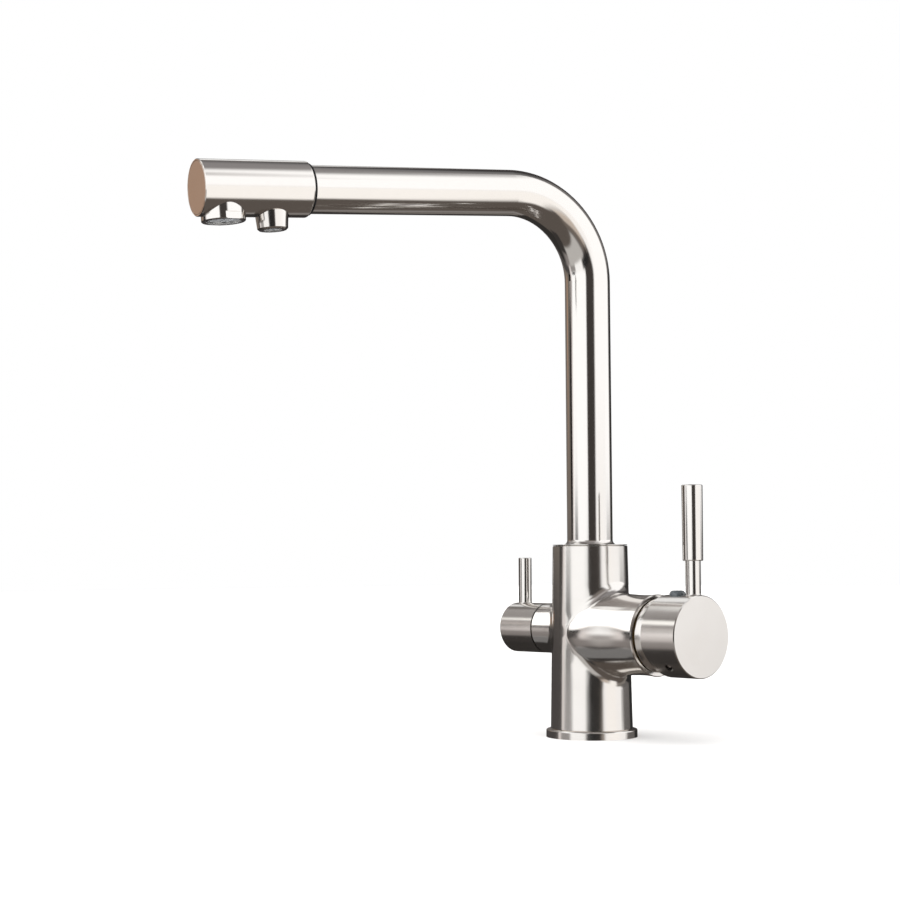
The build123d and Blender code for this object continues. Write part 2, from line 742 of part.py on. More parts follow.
# Aerator: washer, threaded collar with two wrench flats, and the grid inside it
aerator_top = aerator_seat_drop + aerator_washer_thickness
aerator_bottom = head_radius + aerator_stand_out
with BuildPart() as aerator_washer:
    with BuildSketch(outlet_plane(aerator_along, aerator_seat_drop)):
        Circle(aerator_diameter / 2)
        Circle(aerator_washer_bore / 2, mode=Mode.SUBTRACT)
    extrude(amount=aerator_washer_thickness)
aerator_washer.part.label = "aerator_washer"
export_step(aerator_washer.part, "parts/aerator_washer.step")

aerator_lip_drop = aerator_bottom - aerator_lip_thickness
with BuildPart() as aerator_housing:
    with BuildSketch(outlet_plane(aerator_along, aerator_top)):
        Circle(aerator_diameter / 2)
    extrude(amount=aerator_bottom - aerator_top)
    chamfer(aerator_housing.edges().sort_by(outlet_axis)[-1], aerator_edge)
    with BuildSketch(outlet_plane(aerator_along, aerator_bottom)):
        Circle(aerator_diameter)
        Rectangle(
            aerator_flats_across,
            2 * aerator_diameter,
            rotation=aerator_flats_angle,
            mode=Mode.SUBTRACT,
        )
    extrude(amount=-aerator_flats_height, mode=Mode.SUBTRACT)
    with BuildSketch(outlet_plane(aerator_along, aerator_top)):
        Circle(aerator_bore_diameter / 2)
    extrude(amount=aerator_lip_drop - aerator_top, mode=Mode.SUBTRACT)
    with BuildSketch(outlet_plane(aerator_along, aerator_lip_drop)):
        Circle(aerator_lip_bore / 2)
    extrude(amount=aerator_lip_thickness, mode=Mode.SUBTRACT)
aerator_housing.part.label = "aerator_housing"
export_step(aerator_housing.part, "parts/aerator_housing.step")

with BuildPart() as aerator_insert:
    with BuildSketch(outlet_plane(aerator_along, aerator_top)):
        Circle(aerator_bore_diameter / 2 - running_gap)
        with HexLocations(insert_hole_pitch / 2, insert_hole_rows, insert_hole_rows):
            Circle(insert_hole_diameter / 2, mode=Mode.SUBTRACT)
    extrude(amount=aerator_lip_drop - aerator_top)
aerator_insert.part.label = "aerator_insert"
export_step(aerator_insert.part, "parts/aerator_insert.step")

# Drinking water nozzle, its seal, and the flow straightener in its mouth
nozzle_bottom = head_radius + nozzle_stand_out
with BuildPart() as filter_nozzle:
    with BuildSketch(outlet_plane(nozzle_along, nozzle_thread_top + small_o_ring_section)):
        Circle(nozzle_thread_diameter / 2)
    extrude(amount=nozzle_seat_drop - nozzle_thread_top - small_o_ring_section)
    with BuildSketch(outlet_plane(nozzle_along, nozzle_seat_drop)):
        Circle(nozzle_diameter / 2)
    with BuildSketch(outlet_plane(nozzle_along, nozzle_bottom)):
        Circle(nozzle_tip_diameter / 2)
    loft()
    chamfer(filter_nozzle.edges().sort_by(outlet_axis)[-1], nozzle_edge)
    with BuildSketch(outlet_plane(nozzle_along, nozzle_thread_top)):
        Circle(nozzle_bore_diameter / 2)
    extrude(amount=nozzle_bottom, mode=Mode.SUBTRACT)
    with BuildSketch(outlet_plane(nozzle_along, nozzle_bottom - nozzle_mouth_depth)):
        Circle(nozzle_mouth_diameter / 2)
    extrude(amount=nozzle_bottom, mode=Mode.SUBTRACT)
filter_nozzle.part.label = "filter_nozzle"
export_step(filter_nozzle.part, "parts/filter_nozzle.step")

with BuildPart() as nozzle_seal:
    with BuildSketch(outlet_plane(nozzle_along, nozzle_thread_top)):
        Circle(nozzle_thread_diameter / 2)
        Circle(nozzle_bore_diameter / 2 + small_o_ring_section, mode=Mode.SUBTRACT)
    extrude(amount=small_o_ring_section)
nozzle_seal.part.label = "nozzle_seal"
export_step(nozzle_seal.part, "parts/nozzle_seal.step")

with BuildPart() as nozzle_insert:
    with BuildSketch(outlet_plane(nozzle_along, nozzle_bottom - nozzle_insert_recess)):
        Circle(nozzle_mouth_diameter / 2 - running_gap)
        Circle(nozzle_insert_hole_diameter / 2, mode=Mode.SUBTRACT)
        with PolarLocations(nozzle_insert_hole_circle / 2, nozzle_insert_hole_count):
            Circle(nozzle_insert_hole_diameter / 2, mode=Mode.SUBTRACT)
    extrude(amount=-nozzle_insert_length)
nozzle_insert.part.label = "nozzle_insert"
export_step(nozzle_insert.part, "parts/nozzle_insert.step")

# Mixer cartridge: base with its seals, housing, and the fixed ceramic disc
ports = ((port_y, port_lift), (-port_y, port_lift), (0, -outlet_port_drop))
with BuildPart() as cartridge_base:
    with BuildSketch(across_mixer(cartridge_base_start)):
        Circle(cartridge_diameter / 2)
        with Locations(*ports):
            Circle(seal_bore_diameter / 2, mode=Mode.SUBTRACT)
    extrude(amount=cartridge_base_thickness)
    with BuildSketch(across_mixer(cartridge_base_start)):
        with Locations(*ports):
            Circle(seal_diameter / 2)
    extrude(amount=seal_thickness - seal_stand_out, mode=Mode.SUBTRACT)
cartridge_base.part.label = "cartridge_base"
export_step(cartridge_base.part, "parts/cartridge_base.step")

with BuildPart() as cartridge_seals:
    with BuildSketch(across_mixer(cartridge_floor)):
        with Locations(*ports):
            Circle(seal_diameter / 2)
            Circle(seal_bore_diameter / 2, mode=Mode.SUBTRACT)
    extrude(amount=seal_thickness)
cartridge_seals.part.label = "cartridge_seals"
export_step(cartridge_seals.part, "parts/cartridge_seals.step")

cartridge_neck_radius = cartridge_neck_diameter / 2
with BuildPart() as cartridge_housing:
    with BuildSketch(across_mixer(fixed_disc_start)):
        Circle(cartridge_diameter / 2)
    extrude(amount=cartridge_shoulder - fixed_disc_start)
    with BuildSketch(across_mixer(cartridge_shoulder)):
        Circle(cartridge_neck_radius)
    extrude(amount=cartridge_neck_end - cartridge_shoulder)
    with BuildSketch(across_mixer(fixed_disc_start)):
        Circle(cartridge_bore_radius)
    extrude(amount=cartridge_shoulder - cartridge_top_plate - fixed_disc_start, mode=Mode.SUBTRACT)
    with BuildSketch(across_mixer(fixed_disc_start)):
        Circle(cartridge_neck_radius - cartridge_neck_wall)
    extrude(amount=cartridge_neck_end, mode=Mode.SUBTRACT)
cartridge_housing.part.label = "cartridge_housing"
export_step(cartridge_housing.part, "parts/cartridge_housing.step")

with BuildPart() as mixer_fixed_disc:
    with BuildSketch(across_mixer(fixed_disc_start)):
        Circle(cartridge_bore_radius - running_gap)
        with Locations(*ports):
            Circle(seal_bore_diameter / 2, mode=Mode.SUBTRACT)
    extrude(amount=disc_thickness)
mixer_fixed_disc.part.label = "mixer_fixed_disc"
export_step(mixer_fixed_disc.part, "parts/mixer_fixed_disc.step")

# Moving ceramic disc and the slide plate on it, pushed by the ball at the spindle's inner end
with BuildPart() as mixer_moving_disc:
    with BuildSketch(across_mixer(moving_disc_start)):
        Circle(moving_disc_diameter / 2)
    extrude(amount=moving_disc_thickness)
    with BuildSketch(across_mixer(moving_disc_start)):
        with Locations((0, -moving_disc_pocket_drop)):
            Circle(moving_disc_pocket_diameter / 2)
    extrude(amount=moving_disc_pocket_depth, mode=Mode.SUBTRACT)
mixer_moving_disc.part.label = "mixer_moving_disc"
export_step(mixer_moving_disc.part, "parts/mixer_moving_disc.step")

ball_reach = pivot_reach - ball_arm
ball_socket_radius = ball_diameter / 2 + ball_socket_gap
with BuildPart() as slide_plate:
    with BuildSketch(across_mixer(slide_plate_start)):
        Circle(moving_disc_diameter / 2)
        Rectangle(slide_plate_across, moving_disc_diameter, mode=Mode.INTERSECT)
    extrude(amount=slide_plate_thickness)
    with BuildSketch(across_mixer(ball_reach - ball_socket_radius)):
        Circle(ball_socket_radius)
    extrude(amount=slide_plate_thickness, mode=Mode.SUBTRACT)
slide_plate.part.label = "slide_plate"
export_step(slide_plate.part, "parts/slide_plate.step")

# Carrier: turns in the housing's neck, holds the pivot pin, and guides the slide plate
carrier_radius = cartridge_neck_radius - cartridge_neck_wall - running_gap
carrier_slot_width = spindle_diameter + 2 * passing_gap
carrier_flange_end = carrier_start + carrier_flange_thickness
carrier_rail_inner_across = slide_plate_across + 2 * passing_gap
with BuildPart() as mixer_carrier:
    with BuildSketch(across_mixer(carrier_start)):
        Circle(cartridge_bore_radius - running_gap)
    extrude(amount=carrier_flange_thickness)
    with BuildSketch(across_mixer(carrier_flange_end)):
        Circle(carrier_radius)
    extrude(amount=carrier_neck_end - carrier_flange_end)
    with BuildSketch(across_mixer(carrier_start)):
        Rectangle(carrier_rail_outer_across, carrier_rail_length)
        Rectangle(carrier_rail_inner_across, carrier_rail_length, mode=Mode.SUBTRACT)
    extrude(amount=-carrier_rail_reach)
    with BuildSketch(across_mixer(carrier_start)):
        Rectangle(carrier_slot_width, carrier_slot_length)
    extrude(amount=carrier_neck_end, mode=Mode.SUBTRACT)
    with BuildSketch(Plane(origin=(pivot_reach, 0, mixer_height), x_dir=(1, 0, 0), z_dir=(0, 1, 0))):
        Circle(pivot_pin_diameter / 2)
    extrude(amount=pivot_pin_length / 2, both=True, mode=Mode.SUBTRACT)
mixer_carrier.part.label = "mixer_carrier"
export_step(mixer_carrier.part, "parts/mixer_carrier.step")

with BuildPart() as pivot_pin:
    with BuildSketch(Plane(origin=(pivot_reach, 0, mixer_height), x_dir=(1, 0, 0), z_dir=(0, 1, 0))):
        Circle(pivot_pin_diameter / 2)
    extrude(amount=pivot_pin_length / 2, both=True)
pivot_pin.part.label = "pivot_pin"
export_step(pivot_pin.part, "parts/pivot_pin.step")

# Spindle: rocks on the pivot pin, with its ball in the slide plate and its bar in the hub
hub_screw_plane = Plane(
    origin=(hub_screw_reach, 0, mixer_height),
    x_dir=(1, 0, 0),
    z_dir=(0, -sin(radians(hub_screw_angle)), -cos(radians(hub_screw_angle))),
)
spindle_flat_reach = spindle_diameter / 2 - spindle_flat_depth
with BuildPart() as mixer_spindle:
    with BuildSketch(across_mixer(spindle_start)):
        Circle(spindle_diameter / 2)
    extrude(amount=spindle_end - spindle_start)
    with BuildSketch(across_mixer(ball_reach)):
        Circle(arm_diameter / 2)
    extrude(amount=spindle_start - ball_reach)
    with Locations((ball_reach, 0, mixer_height)):
        Sphere(ball_diameter / 2)
    with BuildSketch(hub_screw_plane.offset(spindle_flat_reach)):
        Rectangle(2 * (spindle_end - hub_screw_reach) + overrun, spindle_diameter)
    extrude(amount=spindle_diameter, mode=Mode.SUBTRACT)
    with BuildSketch(Plane(origin=(pivot_reach, 0, mixer_height), x_dir=(1, 0, 0), z_dir=(0, 1, 0))):
        Circle(pivot_pin_diameter / 2 + running_gap)
    extrude(amount=spindle_diameter, both=True, mode=Mode.SUBTRACT)
mixer_spindle.part.label = "mixer_spindle"
export_step(mixer_spindle.part, "parts/mixer_spindle.step")

# Nut that holds the cartridge down, and the domed bonnet over it, centred on the pivot
with BuildPart() as cartridge_nut:
    with BuildSketch(across_mixer(cartridge_shoulder)):
        Circle(nut_thread_diameter / 2)
    extrude(amount=nut_flange_end - cartridge_shoulder)
    with BuildSketch(across_mixer(nut_flange_end)):
        Circle(nut_neck_diameter / 2)
    extrude(amount=nut_end - nut_flange_end)
    with BuildSketch(across_mixer(cartridge_shoulder)):
        Circle(cartridge_neck_radius + running_gap)
    extrude(amount=nut_end, mode=Mode.SUBTRACT)
cartridge_nut.part.label = "cartridge_nut"
export_step(cartridge_nut.part, "parts/cartridge_nut.step")

bonnet_inner_radius = bonnet_radius - bonnet_shell
bonnet_opening_radius = bonnet_opening_diameter / 2
bonnet_bore_radius = nut_neck_diameter / 2 + running_gap
rear_offset = bonnet_start - pivot_reach
skirt_offset = bonnet_skirt_end - pivot_reach
outer_rear = (bonnet_start, sqrt(bonnet_radius**2 - rear_offset**2))
outer_front = (pivot_reach + sqrt(bonnet_radius**2 - bonnet_opening_radius**2), bonnet_opening_radius)
inner_front = (pivot_reach + sqrt(bonnet_inner_radius**2 - bonnet_opening_radius**2), bonnet_opening_radius)
inner_rear = (bonnet_skirt_end, sqrt(bonnet_inner_radius**2 - skirt_offset**2))
with BuildPart() as mixer_bonnet:
    with BuildSketch(mixer_plane):
        with BuildLine():
            RadiusArc(outer_rear, outer_front, bonnet_radius)
            Line(outer_front, inner_front)
            RadiusArc(inner_front, inner_rear, -bonnet_inner_radius)
            Polyline(
                inner_rear,
                (bonnet_skirt_end, bonnet_bore_radius),
                (bonnet_start, bonnet_bore_radius),
                outer_rear,
            )
        make_face()
    revolve(axis=mixer_axis)
mixer_bonnet.part.label = "mixer_bonnet"
export_step(mixer_bonnet.part, "parts/mixer_bonnet.step")

# Mixer handle: hub, lever stem and grip, index button and grub screw
hub_radius = hub_diameter / 2
with BuildPart() as mixer_hub:
    with BuildSketch(across_mixer(hub_start)):
        Circle(hub_radius)
    extrude(amount=hub_face - hub_start)
    chamfer(mixer_hub.edges().sort_by(Axis.X)[-1], hub_edge)
    with BuildSketch(across_mixer(hub_start)):
        Circle(hub_bore_radius)
    extrude(amount=hub_floor - hub_start, mode=Mode.SUBTRACT)
    # the rear rim is cut back below the axis, so that the raised handle clears the boss
    with BuildSketch(mixer_plane):
        with BuildLine():
            Polyline(
                (hub_start - overrun, -hub_cut_drop),
                (hub_start, -hub_cut_drop),
                (hub_start + hub_cut_reach, -hub_radius),
                (hub_start + hub_cut_reach, -hub_diameter),
                (hub_start - overrun, -hub_diameter),
                close=True,
            )
        make_face()
    extrude(amount=hub_diameter, both=True, mode=Mode.SUBTRACT)
    with BuildSketch(across_mixer(hub_floor)):
        Circle(spindle_diameter / 2)
    extrude(amount=spindle_end - hub_floor, mode=Mode.SUBTRACT)
    with BuildSketch(Plane.XY.offset(mixer_height + hub_radius - stem_depth)):
        with Locations((lever_reach, 0)):
            Circle(stem_diameter / 2)
    extrude(amount=hub_radius, mode=Mode.SUBTRACT)
    with BuildSketch(Plane.XY.offset(mixer_height + hub_radius - index_seat_depth)):
        with Locations((index_reach, 0)):
            Circle(index_diameter / 2)
    extrude(amount=hub_radius, mode=Mode.SUBTRACT)
    with BuildSketch(hub_screw_plane.offset(spindle_flat_reach)):
        Circle(hub_screw_diameter / 2)
    extrude(amount=hub_radius, mode=Mode.SUBTRACT)
mixer_hub.part.label = "mixer_hub"
export_step(mixer_hub.part, "parts/mixer_hub.step")

with BuildPart() as lever_stem:
    with BuildSketch(Plane.XY.offset(mixer_height + hub_radius - stem_depth)):
        with Locations((lever_reach, 0)):
            Circle(stem_diameter / 2)
    extrude(amount=grip_start + grip_socket_depth - mixer_height - hub_radius + stem_depth)
lever_stem.part.label = "lever_stem"
export_step(lever_stem.part, "parts/lever_stem.step")

with BuildPart() as lever_grip:
    with BuildSketch(Plane.XY.offset(grip_start)):
        with Locations((lever_reach, 0)):
            Circle(grip_foot_diameter / 2)
    with BuildSketch(Plane.XY.offset(grip_end)):
        with Locations((lever_reach, 0)):
            Circle(grip_top_diameter / 2)
    loft()
    fillet(lever_grip.edges().filter_by(GeomType.CIRCLE), grip_edge)
    with BuildSketch(Plane.XY.offset(grip_start)):
        with Locations((lever_reach, 0)):
            Circle(stem_diameter / 2)
    extrude(amount=grip_socket_depth, mode=Mode.SUBTRACT)
lever_grip.part.label = "lever_grip"
export_step(lever_grip.part, "parts/lever_grip.step")

with BuildPart() as index_button:
    with BuildSketch(Plane.XY.offset(mixer_height + hub_radius - index_seat_depth)):
        with Locations((index_reach, 0)):
            Circle(index_diameter / 2)
    extrude(amount=index_seat_depth + index_height)
    fillet(index_button.edges().sort_by(Axis.Z)[-1], index_edge)
index_button.part.label = "index_button"
export_step(index_button.part, "parts/index_button.step")

with BuildPart() as hub_screw:
    with BuildSketch(hub_screw_plane.offset(spindle_flat_reach)):
        Circle(hub_screw_diameter / 2)
    extrude(amount=hub_screw_length)
    with BuildSketch(hub_screw_plane.offset(spindle_flat_reach + hub_screw_length)):
        RegularPolygon(hub_screw_socket / 2, 6, major_radius=False)
    extrude(amount=-hub_screw_socket_depth, mode=Mode.SUBTRACT)
hub_screw.part.label = "hub_screw"
export_step(hub_screw.part, "parts/hub_screw.step")

# Filter valve: quarter-turn headwork with two ceramic discs
valve_start = valve_floor + valve_seal_thickness
fixed_face = valve_start + valve_disc_thickness
moving_start = fixed_face + running_gap
flange_start = moving_start + valve_disc_thickness
flange_end = flange_start + valve_flange_thickness
with BuildPart() as filter_valve_housing:
    with BuildSketch(across_filter(valve_start)):
        Circle(valve_thread_diameter / 2)
    extrude(amount=neck_reach - valve_start)
    with BuildSketch(across_filter(neck_reach)):
        RegularPolygon(valve_hex_across / 2, 6, major_radius=False)
    extrude(amount=valve_hex_end - neck_reach)
    with BuildSketch(across_filter(valve_hex_end)):
        Circle(valve_neck_diameter / 2)
    extrude(amount=valve_neck_end - valve_hex_end)
    with BuildSketch(across_filter(valve_groove_start)):
        Circle(valve_thread_diameter / 2)
        Circle(valve_thread_diameter / 2 - valve_groove_depth, mode=Mode.SUBTRACT)
    extrude(amount=valve_groove_end - valve_groove_start, mode=Mode.SUBTRACT)
    with BuildSketch(across_filter(valve_start)):
        Circle(valve_disc_diameter / 2 + running_gap)
    extrude(amount=flange_end + running_gap - valve_start, mode=Mode.SUBTRACT)
    with BuildSketch(Plane.XY.offset(filter_height)):
        with Locations((-valve_window_reach, 0)):
            Circle(valve_window_diameter / 2)
    extrude(amount=valve_thread_diameter, both=True, mode=Mode.SUBTRACT)
    with BuildSketch(across_filter(valve_start)):
        Circle(valve_spindle_diameter / 2 + running_gap)
    extrude(amount=valve_neck_end, mode=Mode.SUBTRACT)
filter_valve_housing.part.label = "filter_valve_housing"
export_step(filter_valve_housing.part, "parts/filter_valve_housing.step")

with BuildPart() as filter_valve_seal:
    with BuildSketch(across_filter(valve_floor)):
        Circle(valve_seal_diameter / 2)
        Circle(valve_seal_bore / 2, mode=Mode.SUBTRACT)
    extrude(amount=valve_seal_thickness)
filter_valve_seal.part.label = "filter_valve_seal"
export_step(filter_valve_seal.part, "parts/filter_valve_seal.step")

disc_window = valve_disc_diameter / 4
with BuildPart() as filter_fixed_disc:
    with BuildSketch(across_filter(valve_start)):
        Circle(valve_disc_diameter / 2)
        with Locations((disc_window, 0), (-disc_window, 0)):
            Circle(valve_flange_window / 2, mode=Mode.SUBTRACT)
    extrude(amount=valve_disc_thickness)
filter_fixed_disc.part.label = "filter_fixed_disc"
export_step(filter_fixed_disc.part, "parts/filter_fixed_disc.step")

with BuildPart() as filter_moving_disc:
    with BuildSketch(across_filter(moving_start)):
        Circle(valve_disc_diameter / 2)
        with Locations((0, disc_window), (0, -disc_window)):
            Circle(valve_flange_window / 2, mode=Mode.SUBTRACT)
    extrude(amount=valve_disc_thickness)
filter_moving_disc.part.label = "filter_moving_disc"
export_step(filter_moving_disc.part, "parts/filter_moving_disc.step")

with BuildPart() as filter_spindle:
    with BuildSketch(across_filter(flange_start)):
        Circle(valve_disc_diameter / 2)
        with Locations((0, disc_window), (0, -disc_window)):
            Circle(valve_flange_window / 2, mode=Mode.SUBTRACT)
        with Locations((0, valve_disc_diameter / 2), (0, -valve_disc_diameter / 2)):
            Rectangle(valve_flange_window, valve_disc_diameter / 2, mode=Mode.SUBTRACT)
    extrude(amount=valve_flange_thickness)
    with BuildSketch(across_filter(flange_end)):
        Circle(valve_spindle_diameter / 2)
    extrude(amount=valve_spindle_end - flange_end)
    with BuildSketch(across_filter(valve_neck_end)):
        Circle(valve_spindle_diameter / 2)
        Circle(circlip_inner_diameter / 2, mode=Mode.SUBTRACT)
    extrude(amount=circlip_thickness, mode=Mode.SUBTRACT)
    with BuildSketch(across_filter(valve_o_ring_reach - small_groove_width / 2)):
        Circle(valve_spindle_diameter / 2)
        Circle(valve_spindle_diameter / 2 - small_o_ring_section, mode=Mode.SUBTRACT)
    extrude(amount=small_groove_width, mode=Mode.SUBTRACT)
filter_spindle.part.label = "filter_spindle"
export_step(filter_spindle.part, "parts/filter_spindle.step")

valve_o_ring_radius = valve_spindle_diameter / 2 - small_o_ring_section / 2
with BuildPart() as spindle_o_ring:
    with BuildSketch(filter_plane):
        with Locations((valve_o_ring_reach, valve_o_ring_radius)):
            Circle(small_o_ring_section / 2)
    revolve(axis=filter_axis)
spindle_o_ring.part.label = "spindle_o_ring"
export_step(spindle_o_ring.part, "parts/spindle_o_ring.step")

with BuildPart() as spindle_circlip:
    with BuildSketch(across_filter(valve_neck_end)):
        Circle(circlip_outer_diameter / 2)
        Circle(circlip_inner_diameter / 2, mode=Mode.SUBTRACT)
        with Locations((0, -circlip_outer_diameter / 2)):
            Rectangle(circlip_opening, circlip_outer_diameter / 2, mode=Mode.SUBTRACT)
    extrude(amount=circlip_thickness)
spindle_circlip.part.label = "spindle_circlip"
export_step(spindle_circlip.part, "parts/spindle_circlip.step")

# Filter handle: knob over the headwork, lever pin and grub screw
knob_screw_plane = Plane(origin=(-filter_lever_reach, 0, filter_height), x_dir=(1, 0, 0), z_dir=(0, 0, -1))
with BuildPart() as filter_knob:
    with BuildSketch(across_filter(knob_start)):
        Circle(knob_diameter / 2)
    extrude(amount=knob_end - knob_start)
    fillet(filter_knob.edges().sort_by(Axis.X)[0], knob_edge)
    with BuildSketch(across_filter(knob_start)):
        Circle(knob_bore_diameter / 2)
    extrude(amount=knob_floor - knob_start, mode=Mode.SUBTRACT)
    with BuildSketch(across_filter(knob_floor)):
        Circle(valve_spindle_diameter / 2)
    extrude(amount=valve_spindle_end - knob_floor, mode=Mode.SUBTRACT)
    with BuildSketch(Plane.XY.offset(filter_height + knob_diameter / 2 - filter_lever_depth)):
        with Locations((-filter_lever_reach, 0)):
            Circle(filter_lever_diameter / 2)
    extrude(amount=knob_diameter, mode=Mode.SUBTRACT)
    with BuildSketch(knob_screw_plane):
        Circle(knob_screw_diameter / 2)
    extrude(amount=knob_diameter, mode=Mode.SUBTRACT)
filter_knob.part.label = "filter_knob"
export_step(filter_knob.part, "parts/filter_knob.step")

with BuildPart() as filter_lever:
    with BuildSketch(Plane.XY.offset(filter_height + knob_diameter / 2 - filter_lever_depth)):
        with Locations((-filter_lever_reach, 0)):
            Circle(filter_lever_diameter / 2)
    extrude(amount=filter_lever_top - filter_height - knob_diameter / 2 + filter_lever_depth)
    fillet(filter_lever.edges().sort_by(Axis.Z)[-1], filter_lever_edge)
filter_lever.part.label = "filter_lever"
export_step(filter_lever.part, "parts/filter_lever.step")

with BuildPart() as knob_screw:
    with BuildSketch(knob_screw_plane.offset(valve_spindle_diameter / 2)):
        Circle(knob_screw_diameter / 2)
    extrude(amount=knob_screw_length)
    with BuildSketch(knob_screw_plane.offset(valve_spindle_diameter / 2 + knob_screw_length)):
        RegularPolygon(knob_screw_socket / 2, 6, major_radius=False)
    extrude(amount=-knob_screw_socket_depth, mode=Mode.SUBTRACT)
knob_screw.part.label = "knob_screw"
export_step(knob_screw.part, "parts/knob_screw.step")
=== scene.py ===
"""Studio scene of a kitchen tap with a joystick mixer, a filter valve and a two-way spout."""

import json
import logging
import math
from dataclasses import dataclass, field
from enum import Enum
from typing import Sequence

import bpy
from mathutils import Matrix, Vector


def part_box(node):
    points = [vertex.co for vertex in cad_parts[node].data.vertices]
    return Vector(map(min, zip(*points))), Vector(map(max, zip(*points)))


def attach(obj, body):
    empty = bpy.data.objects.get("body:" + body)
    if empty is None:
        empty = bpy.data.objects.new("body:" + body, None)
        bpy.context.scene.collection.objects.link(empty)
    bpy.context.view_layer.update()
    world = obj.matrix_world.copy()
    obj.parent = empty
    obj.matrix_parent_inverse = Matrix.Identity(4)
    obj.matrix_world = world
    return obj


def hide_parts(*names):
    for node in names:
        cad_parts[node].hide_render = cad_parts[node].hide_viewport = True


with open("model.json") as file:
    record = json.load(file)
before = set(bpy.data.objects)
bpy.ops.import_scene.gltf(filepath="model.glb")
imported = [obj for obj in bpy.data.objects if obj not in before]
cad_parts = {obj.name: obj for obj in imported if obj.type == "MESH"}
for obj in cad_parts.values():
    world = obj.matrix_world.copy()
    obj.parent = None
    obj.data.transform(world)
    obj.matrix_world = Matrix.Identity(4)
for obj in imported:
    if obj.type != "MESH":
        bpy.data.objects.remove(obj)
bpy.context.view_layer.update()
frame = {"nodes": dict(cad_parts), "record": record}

log = logging.getLogger("tap")

Colour = tuple[float, float, float]

MM_IN_METRE = 1000.0
MERGE_DISTANCE = 1e-6
SMOOTH_ANGLE = math.radians(35.0)
MARK_DEPTH = 0.0002  # of tool marks, brush strokes and moulded skin, in metres
HOSE_PITCH = 0.001
STUD_PITCH = 0.00125
STUD_THREAD_LENGTH = 0.013


class Signal:
    """A shader socket that can be written into plain arithmetic."""

    def __init__(self, bench: "Bench", socket: bpy.types.NodeSocket) -> None:
        """Wraps an output socket.

        Args:
            bench: the node tree that the socket belongs to.
            socket: the output socket.
        """
        self.bench = bench
        self.socket = socket

    def _math(self, operation: str, *values: "Signal | float") -> "Signal":
        """Adds a Math node.

        Args:
            operation: the Math node's operation.
            *values: what goes into its sockets, in order.

        Returns:
            The node's result.
        """
        node = self.bench.node("ShaderNodeMath", {"operation": operation}, dict(enumerate(values)))
        return Signal(self.bench, node.outputs[0])

    def __add__(self, other: "Signal | float") -> "Signal":
        """Adds."""
        return self._math("ADD", self, other)

    __radd__ = __add__

    def __sub__(self, other: "Signal | float") -> "Signal":
        """Subtracts."""
        return self._math("SUBTRACT", self, other)

    def __rsub__(self, other: "Signal | float") -> "Signal":
        """Subtracts this from a number."""
        return self._math("SUBTRACT", other, self)

    def __mul__(self, other: "Signal | float") -> "Signal":
        """Multiplies."""
        return self._math("MULTIPLY", self, other)

    __rmul__ = __mul__

    def most(self, other: "Signal | float") -> "Signal":
        """The larger of two values."""
        return self._math("MAXIMUM", self, other)

    def function(self, name: str, *others: "Signal | float") -> "Signal":
        """Any other Math operation, with this value first."""
        return self._math(name, self, *others)

    def ramp(self, low: float, high: float) -> "Signal":
        """A smooth step of this value.

        Args:
            low: the value at which the step starts, with 0.
            high: the value at which it ends, with 1.

        Returns:
            The step, between 0 and 1.
        """
        node = self.bench.node(
            "ShaderNodeMapRange",
            {"interpolation_type": "SMOOTHSTEP"},
            {"Value": self, "From Min": low, "From Max": high, "To Min": 0.0, "To Max": 1.0},
        )
        return Signal(self.bench, node.outputs["Result"])

    def band(self, low: float, high: float, blur: float) -> "Signal":
        """A soft-edged window over this value.

        Args:
            low: the middle of the lower edge.
            high: the middle of the upper edge.
            blur: half the width of each edge.

        Returns:
            1 inside the window and 0 outside it.
        """
        return self.ramp(low - blur, low + blur) * (1.0 - self.ramp(high - blur, high + blur))


